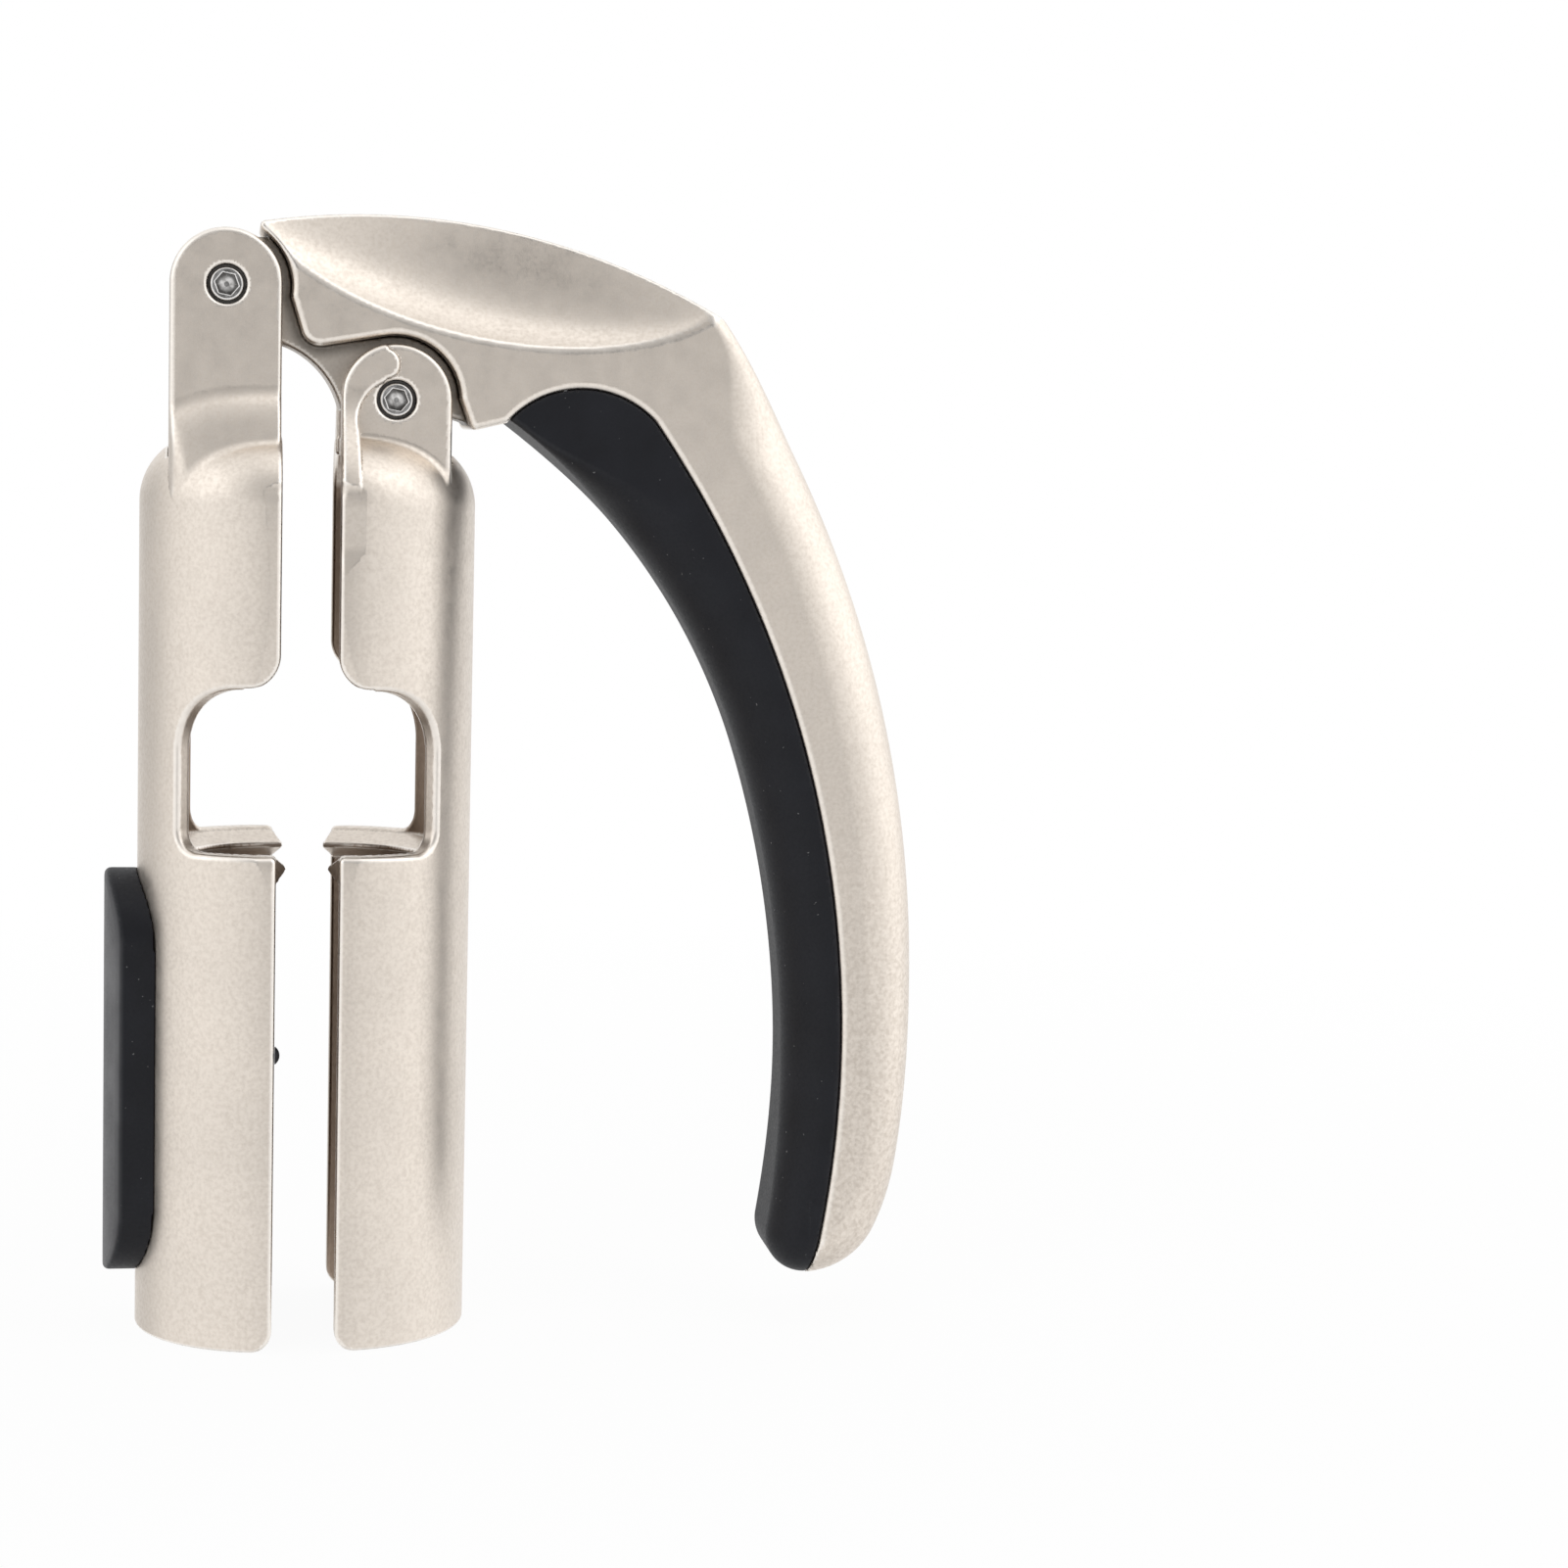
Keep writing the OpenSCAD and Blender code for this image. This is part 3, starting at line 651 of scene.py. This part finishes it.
def screw(x, y, z, pivot):
    """Screw with a hexagon socket in its head."""
    depth = y + EAR_OUT - HEAD_RECESS
    dx, dz = x - pivot[0], z - pivot[1]
    r = np.hypot(dx, dz)
    head = round_max(r - HEAD_R, np.abs(depth - HEAD_T / 2) - HEAD_T / 2, HEAD_EDGE_R)
    shank = np.maximum(r - SHANK_R, np.abs(depth - SHANK_L / 2 - SHANK_START) - SHANK_L / 2)
    turns = [math.radians(SOCKET_TURN + 60 * k) for k in range(3)]
    flats = [np.abs(math.cos(t) * dx + math.sin(t) * dz) - SOCKET_HALF for t in turns]
    socket = greatest(*flats, depth - SOCKET_DEPTH + SOCKET_SLOPE * r)
    return np.minimum(round_max(head, -socket, SOCKET_EDGE_R), shank)


def upper_screw(x, y, z):
    return screw(x, y, z, UPPER_PIVOT)


def lower_screw(x, y, z):
    return screw(x, y, z, LOWER_PIVOT)


# Place of each jaw's axis along x
JAW_AXES = {fixed_jaw: 0, moving_jaw: JAW_SPACING}

# Meshes from fields


def surface_net(field, low, high, step):
    """Points and quads of the field's zero level, with one point in each cell that it crosses."""
    axes = [np.arange(lo - 2 * step, hi + 3 * step, step) for lo, hi in zip(low, high)]
    value = np.stack([field(x, axes[1][:, None], axes[2][None, :]) for x in axes[0]])
    inside = value < 0
    shape = tuple(n - 1 for n in value.shape)
    cells = int(np.prod(shape))
    total = np.zeros((3, cells))
    hits = np.zeros(cells)
    quads = []
    for axis in range(3):
        ahead = np.zeros(3, int)
        ahead[axis] = 1
        crossed = np.diff(inside.astype(np.int8), axis=axis)
        at = np.argwhere(crossed != 0)
        start = value[tuple(at.T)]
        end = value[tuple((at + ahead).T)]
        point = at + np.outer(start / (start - end), ahead)
        ring = []
        for u, v in ((0, 0), (-1, 0), (-1, -1), (0, -1)):
            cell = at.copy()
            cell[:, (axis + 1) % 3] += u
            cell[:, (axis + 2) % 3] += v
            index = np.ravel_multi_index(tuple(cell.T), shape)
            ring.append(index)
            hits += np.bincount(index, minlength=cells)
            for k in range(3):
                total[k] += np.bincount(index, weights=point[:, k], minlength=cells)
        ring = np.stack(ring, axis=1)
        outward = start < 0
        quads.append(np.where(outward[:, None], ring, ring[:, ::-1]))
    used = np.flatnonzero(hits)
    number = np.zeros(cells, int)
    number[used] = np.arange(len(used))
    points = (total[:, used] / hits[used]).T * step
    points += [axis[0] for axis in axes]
    return points, number[np.concatenate(quads)]


def slopes(field, points, span):
    """Slope of the field at each point."""
    x, y, z = points.T
    across = [
        field(x + span, y, z) - field(x - span, y, z),
        field(x, y + span, z) - field(x, y - span, z),
        field(x, y, z + span) - field(x, y, z - span),
    ]
    return np.stack(across, axis=1) / (2 * span)


def settle(field, points, reach):
    """Moves points onto the field's zero level."""
    for _ in range(SETTLE_ROUNDS):
        slope = slopes(field, points, SLOPE_SPAN)
        steep = np.maximum((slope**2).sum(axis=1), LEAST_STEEP)
        move = field(*points.T) / steep
        move = np.clip(move, -reach, reach)
        points = points - slope * move[:, None]
    return points


def bend(field, points, span):
    """How sharply the surface bends: above 0 on outer edges and below 0 in corners."""
    x, y, z = points.T
    around = field(x + span, y, z) + field(x - span, y, z)
    around = around + field(x, y + span, z) + field(x, y - span, z)
    around = around + field(x, y, z + span) + field(x, y, z - span)
    return (around - 6 * field(x, y, z)) / span


def mesh_points(mesh):
    flat = np.zeros(3 * len(mesh.vertices))
    mesh.vertices.foreach_get("co", flat)
    return flat.reshape(-1, 3) / MM


def thinned(mesh, share, spared=None):
    """The same shape with fewer faces, apart from spared points."""
    carrier = bpy.data.objects.new("thinning", mesh)
    bpy.context.scene.collection.objects.link(carrier)
    modifier = carrier.modifiers.new("thin", "DECIMATE")
    modifier.ratio = share
    modifier.use_collapse_triangulate = True
    if spared is not None:
        group = carrier.vertex_groups.new(name="thinned")
        group.add(np.flatnonzero(~spared).tolist(), 1.0, "REPLACE")
        modifier.vertex_group = group.name
    graph = bpy.context.evaluated_depsgraph_get()
    result = bpy.data.meshes.new_from_object(carrier.evaluated_get(graph))
    bpy.data.objects.remove(carrier)
    return result


def merge_points(mesh):
    """Makes one point of those that settled on the same spot."""
    work = bmesh.new()
    work.from_mesh(mesh)
    bmesh.ops.remove_doubles(work, verts=work.verts, dist=SAME_POINT * MM)
    work.to_mesh(mesh)
    work.free()


def bore_shade_mark(points, normals, axis_x):
    """1 on the bore of a jaw, where shade is painted, and 0 on the rest of it."""
    outwards = (points - [axis_x, 0, 0])[:, :2] / BORE_R
    facing_in = -(outwards * normals[:, :2]).sum(axis=1)
    level = np.abs(normals[:, 2])
    return fade(facing_in, *BORE_FACING_FADE) * fade(level, *BORE_LEVEL_FADE)


def tongue_shade(points):
    """Painted shade on the lever's tongue, most of it beside the step of the head."""
    x, y, z = points.T
    outside_head = head_outline(x, z)
    deep = fade(np.abs(y), *TONGUE_DEPTH_FADE) * fade(outside_head, *TONGUE_STEP_FADE)
    beside_step = fade(outside_head, *TONGUE_SHADE_FADE)
    return deep * (TONGUE_SHADE_LEAST + (1 - TONGUE_SHADE_LEAST) * beside_step)


def socket_shade(points):
    """Painted shade along the walls of a screw's socket."""
    x, y, z = points.T
    middle = (UPPER_PIVOT[0] + LOWER_PIVOT[0]) / 2
    r = np.where(x < middle, circle(x, z, UPPER_PIVOT, 0), circle(x, z, LOWER_PIVOT, 0))
    return fade(y + EAR_OUT - HEAD_RECESS, *SOCKET_DEPTH_FADE) * fade(r, *SOCKET_WALL_FADE)


def handle_mark(points):
    """Where the hand holds the handle, and its grain is coarser."""
    return fade(points[:, 2], *HANDLE_HEIGHT_FADE) * fade(points[:, 0], *HANDLE_SIDE_FADE)


def pad_dust_and_sheen(points):
    """Dust and painted sheen on the outer face of the pad."""
    return fade(np.hypot(points[:, 0], points[:, 1]), *PAD_FACE_FADE)


def unit(vectors):
    return vectors / np.maximum(np.linalg.norm(vectors, axis=-1, keepdims=True), LEAST_LENGTH)


def flat_faces(field, mesh, points):
    """Point numbers of the faces' corners, which faces are flat, and their mean normals."""
    numbers = np.zeros(3 * len(mesh.polygons), int)
    mesh.polygons.foreach_get("vertices", numbers)
    numbers = numbers.reshape(-1, 3)
    corners = points[numbers]
    inwards = corners.mean(axis=1, keepdims=True) - corners
    length = np.linalg.norm(inwards, axis=2, keepdims=True)
    share = np.minimum(MOST_INSET, FACE_INSET / np.maximum(length, LEAST_LENGTH))
    inset = corners + inwards * share
    inside = unit(slopes(field, inset.reshape(-1, 3), SLOPE_SPAN)).reshape(-1, 3, 3)
    mean = unit(inside.mean(axis=1, keepdims=True))
    flat = np.linalg.norm(inside - mean, axis=2).max(axis=1) < FLAT_LIMIT
    return numbers, flat, mean


def marks_of(field, points, normals, bends, numbers):
    """Marks of wear, dust, painted highlight and painted shade at the corners of the faces."""
    # Convex edges get wear and a painted highlight; concave creases get painted shade
    marks = {"edge_wear_and_highlight": fade(bends, *EDGE_WEAR_AND_HIGHLIGHT_FADE), "crevice": fade(-bends, *CREVICE_FADE)}
    if field is lever:
        # Painted shade on the tongue, in the gap between the ears and the head
        marks["crevice"] = np.maximum(marks["crevice"], tongue_shade(points)[numbers])
        marks["mottle"] = handle_mark(points)[numbers]
    if field in (upper_screw, lower_screw):
        marks["crevice"] = socket_shade(points)[numbers]
    if field is jaw_pad:
        # Dust, and a painted sheen of the left light, on the pad's outer face
        marks["dust_and_sheen"] = pad_dust_and_sheen(points)[numbers]
    if field in JAW_AXES:
        marks["crevice"] = JAW_CREVICE * marks["crevice"]
        marks["bore"] = bore_shade_mark(points, normals, JAW_AXES[field])[numbers]
    return marks


def build(name, field, low, high, step):
    """Named piece whose surface is the field's zero level, with its marks of wear, dust, painted
    highlight and painted shade.
    """
    points, quads = surface_net(field, low, high, step)
    points = settle(field, points, step / 2)
    mesh = bpy.data.meshes.new(name)
    mesh.from_pydata(points * MM, [], quads.tolist())
    spared = tongue_shade(points) > TONGUE_SPARED if field is lever else None
    mesh = thinned(mesh, KEPT_FACES, spared)
    mesh.name = name
    points = settle(field, mesh_points(mesh), step / 4)
    mesh.vertices.foreach_set("co", (points * MM).ravel())
    merge_points(mesh)
    points = mesh_points(mesh)
    normals = unit(slopes(field, points, NORMAL_SPAN))
    numbers, flat, mean = flat_faces(field, mesh, points)
    bends = np.where(flat[:, None], 0, bend(field, points, BEND_SPAN)[numbers])
    for key, values in marks_of(field, points, normals, bends, numbers).items():
        attribute = mesh.attributes.new(key, "FLOAT", "CORNER")
        attribute.data.foreach_set("value", values.ravel().astype(np.float32))
    mesh.shade_smooth()
    normals = np.where(flat[:, None, None], mean, normals[numbers])
    mesh.normals_split_custom_set(normals.reshape(-1, 3))
    mesh.update()
    piece = bpy.data.objects.new(name, mesh)
    bpy.context.scene.collection.objects.link(piece)
    return piece


# Materials


def add(tree, kind, links=None, **settings):
    """New node with its settings, and its inputs linked or set."""
    made = tree.nodes.new(kind)
    for key, value in settings.items():
        setattr(made, key, value)
    for key, value in (links or {}).items():
        if isinstance(value, bpy.types.NodeSocket):
            tree.links.new(value, made.inputs[key])
        else:
            made.inputs[key].default_value = value
    return made


def noise(tree, coords, scale, detail):
    made = add(tree, "ShaderNodeTexNoise", {"Vector": coords, "Scale": scale, "Detail": detail})
    return made.outputs["Fac"]


def spread(tree, value, low, high, to_low, to_high):
    """A value between low and high, carried over to another range."""
    links = {"Value": value, "From Min": low, "From Max": high, "To Min": to_low, "To Max": to_high}
    return add(tree, "ShaderNodeMapRange", links).outputs["Result"]


def up_to(tree, mark, share):
    """A mark from 0 to 1, carried over to at most a share."""
    return spread(tree, mark, 0, 1, 0, share)


def grain_bump(tree, grain, strength, height):
    links = {"Height": grain, "Strength": strength, "Distance": height * MM}
    return add(tree, "ShaderNodeBump", links).outputs["Normal"]


def mixed(tree, share, first, second):
    """Two colours mixed by a share."""
    made = add(tree, "ShaderNodeMix", data_type="RGBA")
    for socket, value in zip(MIX_INPUTS, (share, first, second)):
        if isinstance(value, bpy.types.NodeSocket):
            tree.links.new(value, made.inputs[socket])
        else:
            made.inputs[socket].default_value = value
    return made.outputs[MIX_OUTPUT]


def new_material(name):
    material = bpy.data.materials.new(name)
    material.use_nodes = True
    tree = material.node_tree
    shader = tree.nodes["Principled BSDF"]
    coords = add(tree, "ShaderNodeTexCoord").outputs["Object"]
    return material, tree, shader, coords


def wear_of(tree, key):
    return add(tree, "ShaderNodeAttribute", attribute_name=key).outputs["Fac"]


def metal(name, pale, deep, worn_and_highlight, grime, crease_shade, bore_shade, rough, cloud_scale=70):
    """Blasted and plated metal: fine grain, faint clouds, polished edges lightened by a painted
    highlight, and painted shade in corners and in the jaws' bores.
    """
    material, tree, shader, coords = new_material(name)
    grain = noise(tree, coords, *METAL_GRAIN)
    clouds = noise(tree, coords, cloud_scale, METAL_CLOUD_DETAIL)
    smears = noise(tree, coords, *METAL_SMEARS)
    edge, corner, bore = wear_of(tree, "edge_wear_and_highlight"), wear_of(tree, "crevice"), wear_of(tree, "bore")
    colour = mixed(tree, spread(tree, clouds, *CLOUD_RANGE, 0, 1), pale, deep)
    colour = mixed(tree, spread(tree, grain, *GRAIN_RANGE, 0, GRAIN_SHARE), colour, grime)
    blotches = noise(tree, coords, *METAL_BLOTCHES)
    blotches = spread(tree, blotches, *BLOTCH_RANGE, 0, BLOTCH_SHARE)
    mottle = wear_of(tree, "mottle")
    blotches = add(tree, "ShaderNodeMath", {0: blotches, 1: mottle}, operation="MULTIPLY").outputs[0]
    colour = mixed(tree, blotches, colour, grime)
    # Wear and painted highlight: convex edges lightened towards a near-white colour
    colour = mixed(tree, up_to(tree, edge, WORN_AND_HIGHLIGHT_SHARE), colour, worn_and_highlight)
    # Painted shade: a near-black colour in creases, in the tongue's gap and in the screws' sockets
    colour = mixed(tree, up_to(tree, corner, CREASE_SHADE_SHARE), colour, crease_shade)
    # Painted shade: a dark brown inside the jaws' bores
    colour = mixed(tree, up_to(tree, bore, BORE_SHADE_SHARE), colour, bore_shade)
    level = spread(tree, grain, *ROUGH_RANGE, rough - GRAIN_ROUGH, rough + GRAIN_ROUGH)
    drift = spread(tree, smears, *ROUGH_RANGE, -SMEAR_ROUGH, SMEAR_ROUGH)
    polish = up_to(tree, edge, WORN_POLISH)
    level = add(tree, "ShaderNodeMath", {0: level, 1: drift}).outputs[0]
    level = add(tree, "ShaderNodeMath", {0: level, 1: polish}, operation="SUBTRACT").outputs[0]
    shader.inputs["Metallic"].default_value = 1.0
    tree.links.new(colour, shader.inputs["Base Color"])
    tree.links.new(level, shader.inputs["Roughness"])
    tree.links.new(grain_bump(tree, grain, *METAL_BUMP), shader.inputs["Normal"])
    return material


def rubber(name):
    """Matt moulded rubber with a fine grain, rubbed edges, dust and painted sheen on the pad's face,
    and a few pale specks.
    """
    material, tree, shader, coords = new_material(name)
    grain = noise(tree, coords, *RUBBER_GRAIN)
    clouds = noise(tree, coords, *RUBBER_CLOUDS)
    specks = noise(tree, coords, *RUBBER_SPECKS)
    edge, dust_and_sheen = wear_of(tree, "edge_wear_and_highlight"), wear_of(tree, "dust_and_sheen")
    black, grey = (0.0036, 0.0041, 0.0070, 1), (0.007, 0.0078, 0.0118, 1)
    rubbed, speck = (0.03, 0.031, 0.035, 1), (0.3, 0.3, 0.3, 1)
    # Pale coat on the pad's face: dust, and a painted sheen where the left light glances off it
    thin_dust_and_sheen, thick_dust_and_sheen = (0.10, 0.10, 0.105, 1), (0.16, 0.16, 0.165, 1)
    cloudy = spread(tree, clouds, *CLOUD_RANGE, 0, 1)
    colour = mixed(tree, cloudy, black, grey)
    colour = mixed(tree, up_to(tree, edge, RUBBED_SHARE), colour, rubbed)
    dust_and_sheen_colour = mixed(tree, cloudy, thin_dust_and_sheen, thick_dust_and_sheen)
    colour = mixed(tree, dust_and_sheen, colour, dust_and_sheen_colour)
    colour = mixed(tree, spread(tree, specks, *SPECK_RANGE, 0, SPECK_SHARE), colour, speck)
    level = spread(tree, grain, *ROUGH_RANGE, *RUBBER_ROUGH)
    tree.links.new(colour, shader.inputs["Base Color"])
    tree.links.new(level, shader.inputs["Roughness"])
    tree.links.new(grain_bump(tree, grain, *RUBBER_BUMP), shader.inputs["Normal"])
    shader.inputs["Specular IOR Level"].default_value = RUBBER_SHINE
    return material


nickel = metal(
    "satin_nickel_plate",
    pale=(0.84, 0.765, 0.685, 1),
    deep=(0.80, 0.73, 0.655, 1),
    worn_and_highlight=(0.97, 0.93, 0.88, 1),
    grime=(0.42, 0.36, 0.30, 1),
    crease_shade=(0.03, 0.026, 0.022, 1),
    bore_shade=(0.25, 0.18, 0.13, 1),
    rough=0.40,
)
steel = metal(
    "pivot_steel_bright",
    pale=(0.80, 0.79, 0.78, 1),
    deep=(0.34, 0.33, 0.32, 1),
    worn_and_highlight=(0.86, 0.85, 0.84, 1),
    grime=(0.14, 0.13, 0.12, 1),
    crease_shade=(0.03, 0.028, 0.026, 1),
    bore_shade=(0.14, 0.13, 0.12, 1),
    rough=0.20,
    cloud_scale=1100,
)
barrel_steel = metal(
    "pivot_steel_dull",
    pale=(0.16, 0.155, 0.15, 1),
    deep=(0.11, 0.105, 0.10, 1),
    worn_and_highlight=(0.40, 0.39, 0.38, 1),
    grime=(0.05, 0.048, 0.045, 1),
    crease_shade=(0.03, 0.028, 0.026, 1),
    bore_shade=(0.05, 0.048, 0.045, 1),
    rough=0.42,
)
black_rubber = rubber("moulded_rubber")

# Pieces: name, field, CAD node, body, material, slot and grid step
PIECES = [
    ("fixed_jaw_casting", fixed_jaw, "fixed_jaw", "fixed_jaw", nickel, "satin_nickel", STEP),
    ("moving_jaw_casting", moving_jaw, "moving_jaw", "moving_jaw", nickel, "satin_nickel", STEP),
    ("lever_casting", lever, "lever", "lever", nickel, "satin_nickel", STEP),
    ("lever_grip_moulding", lever_grip, "lever_grip", "lever", black_rubber, "black_rubber", STEP),
    ("jaw_pad_moulding", jaw_pad, "jaw_pad", "fixed_jaw", black_rubber, "black_rubber", STEP),
    ("jaw_bumper_button", jaw_bumper, "jaw_bumper", "fixed_jaw", black_rubber, "black_rubber",
     FINE_STEP),
    ("upper_pivot_screw_head", upper_screw, "upper_pivot_screw", "fixed_jaw", steel, "pivot_steel",
     FINE_STEP),
    ("lower_pivot_screw_head", lower_screw, "lower_pivot_screw", "moving_jaw", steel, "pivot_steel",
     FINE_STEP),
]

for name, field, node, body, material, slot, step in PIECES:
    low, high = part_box(node)
    piece = build(name, field, np.array(low) / MM, np.array(high) / MM, step)
    piece.data.materials.append(material)
    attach(piece, body)
    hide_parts(node)

# The barrels keep their CAD shape
for node in ("upper_pivot_barrel", "lower_pivot_barrel"):
    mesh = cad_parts[node].data
    mesh.materials.clear()
    mesh.materials.append(barrel_steel)


# Floor, world, lamps and camera


def ray_share(tree, *kinds):
    """1 for rays of these kinds, and 0 for the rest."""
    path = add(tree, "ShaderNodeLightPath")
    share = path.outputs[kinds[0]]
    for kind in kinds[1:]:
        links = {0: share, 1: path.outputs[kind]}
        share = add(tree, "ShaderNodeMath", links, operation="MAXIMUM").outputs[0]
    return share


FLOOR_R = 0.42
FLOOR_PLACE = (0.03, 0.0, -0.0001)
FLOOR_CORNERS = 96
FLOOR_COLOUR = (0.9, 0.9, 0.9, 1)
# Glow of the floor to the camera, near its middle and near its rim
FLOOR_GLOW = (0.95, 1.0)
FLOOR_GLOW_SPAN = (0.08, 0.9 * FLOOR_R)
# Brightness of the room in shiny surfaces, and on the rest
ROOM_LEVEL = 1.0
PLAIN_LEVEL = 0.55
# Patches of the room, in degrees: azimuth from the front towards +X, elevation, outer and inner angle.
# The last value is the brightness that a patch adds.
ROOM_PATCHES = {
    "behind the camera": (3, 5, 18, 4, -0.61),
    "above the camera": (-2, 30, 32, 18, -0.48),
    "front right": (48, 42, 21, 8, 0.65),
    "high right": (30, 72, 20, 8, 0.40),
    "below": (0, -90, 50, 25, -0.20),
    "front left": (-66, 28, 33, 12, 0.45),
    "right": (92, 24, 50, 12, 0.48),
    "back left": (-129, 0, 32, 10, -0.36),
}


def make_floor():
    turns = [2 * math.pi * k / FLOOR_CORNERS for k in range(FLOOR_CORNERS)]
    rim = [(FLOOR_R * math.cos(t), FLOOR_R * math.sin(t), 0) for t in turns]
    mesh = bpy.data.meshes.new("floor")
    mesh.from_pydata(rim, [], [list(range(FLOOR_CORNERS))])
    floor = bpy.data.objects.new("floor", mesh)
    floor.location = FLOOR_PLACE
    floor.visible_glossy = False
    bpy.context.scene.collection.objects.link(floor)
    material = bpy.data.materials.new("pale_floor")
    material.use_nodes = True
    tree = material.node_tree
    tree.nodes.clear()
    coords = add(tree, "ShaderNodeTexCoord").outputs["Object"]
    away = add(tree, "ShaderNodeVectorMath", {0: coords}, operation="LENGTH").outputs["Value"]
    glow = spread(tree, away, *FLOOR_GLOW_SPAN, *FLOOR_GLOW)
    seen = ray_share(tree, "Is Camera Ray", "Is Transmission Ray")
    share = add(tree, "ShaderNodeMath", {0: glow, 1: seen}, operation="MULTIPLY").outputs[0]
    lit = add(tree, "ShaderNodeBsdfDiffuse", {"Color": FLOOR_COLOUR}).outputs[0]
    white = add(tree, "ShaderNodeEmission", {"Strength": 1.0}).outputs[0]
    mix = add(tree, "ShaderNodeMixShader", {0: share, 1: lit, 2: white}).outputs[0]
    add(tree, "ShaderNodeOutputMaterial", {"Surface": mix})
    mesh.materials.append(material)


def make_world():
    """White to the camera. Shiny surfaces show a white room with paler and greyer patches."""
    world = bpy.data.worlds.new("studio")
    bpy.context.scene.world = world
    world.use_nodes = True
    tree = world.node_tree
    tree.nodes.clear()
    coords = add(tree, "ShaderNodeTexCoord").outputs["Generated"]
    coords = add(tree, "ShaderNodeVectorMath", {0: coords}, operation="NORMALIZE").outputs[0]

    def patch(azimuth, elevation, outer, inner, level):
        """Brightness that a patch adds, rising from its outer angle to its inner one."""
        azimuth, elevation = math.radians(azimuth), math.radians(elevation)
        out = math.cos(elevation)
        middle = Vector((out * math.sin(azimuth), -out * math.cos(azimuth), math.sin(elevation)))
        links = {0: coords, 1: middle}
        near = add(tree, "ShaderNodeVectorMath", links, operation="DOT_PRODUCT").outputs["Value"]
        low, high = math.cos(math.radians(outer)), math.cos(math.radians(inner))
        links = {"Value": near, "From Min": low, "From Max": high, "To Max": level}
        made = add(tree, "ShaderNodeMapRange", links, interpolation_type="SMOOTHSTEP")
        return made.outputs["Result"]

    level = ROOM_LEVEL
    for values in ROOM_PATCHES.values():
        level = add(tree, "ShaderNodeMath", {0: level, 1: patch(*values)}).outputs[0]

    def glow(strength):
        links = {"Color": (1, 1, 1, 1), "Strength": strength}
        return add(tree, "ShaderNodeBackground", links).outputs[0]

    room, plain, white = glow(level), glow(PLAIN_LEVEL), glow(1.0)
    shiny = ray_share(tree, "Is Glossy Ray", "Is Transmission Ray")
    seen = ray_share(tree, "Is Camera Ray")
    mix = add(tree, "ShaderNodeMixShader", {0: shiny, 1: plain, 2: room}).outputs[0]
    mix = add(tree, "ShaderNodeMixShader", {0: seen, 1: mix, 2: white}).outputs[0]
    add(tree, "ShaderNodeOutputWorld", {"Surface": mix})


def make_lamp(name, place, aim, size, power):
    data = bpy.data.lights.new(name, "AREA")
    data.shape = "DISK"
    data.size = size
    data.energy = power
    lamp = bpy.data.objects.new(name, data)
    lamp.location = place
    lamp.rotation_euler = (Vector(aim) - Vector(place)).to_track_quat("-Z", "Y").to_euler()
    lamp.visible_glossy = False
    bpy.context.scene.collection.objects.link(lamp)


def make_camera():
    """Camera at the photo's viewing angle."""
    lens, sensor = 75, 36
    place = Vector((-0.00695, -0.44, 0.1213))
    turn_right, tilt_down, roll = 9.815, 6.076, 1.541
    data = bpy.data.cameras.new("camera")
    data.lens = lens
    data.sensor_width = sensor
    data.clip_start = 0.01
    data.clip_end = 10
    camera = bpy.data.objects.new("camera", data)
    turn = Matrix.Rotation(math.radians(-turn_right), 4, "Z")
    turn = turn @ Matrix.Rotation(math.radians(90 - tilt_down), 4, "X")
    turn = turn @ Matrix.Rotation(math.radians(roll), 4, "Z")
    camera.matrix_world = Matrix.Translation(place) @ turn
    bpy.context.scene.collection.objects.link(camera)
    bpy.context.scene.camera = camera


make_floor()
make_world()
make_lamp("key", place=(-0.45, -0.50, 0.50), aim=(0.02, 0, 0.09), size=0.40, power=1.0)
make_lamp("fill", place=(0.60, -0.35, 0.35), aim=(0.03, 0, 0.08), size=0.45, power=0.8)
make_lamp("top", place=(0.05, 0.05, 0.70), aim=(0.02, 0, 0.10), size=0.40, power=0.8)
make_camera()
bpy.context.scene.view_settings.view_transform = "Standard"
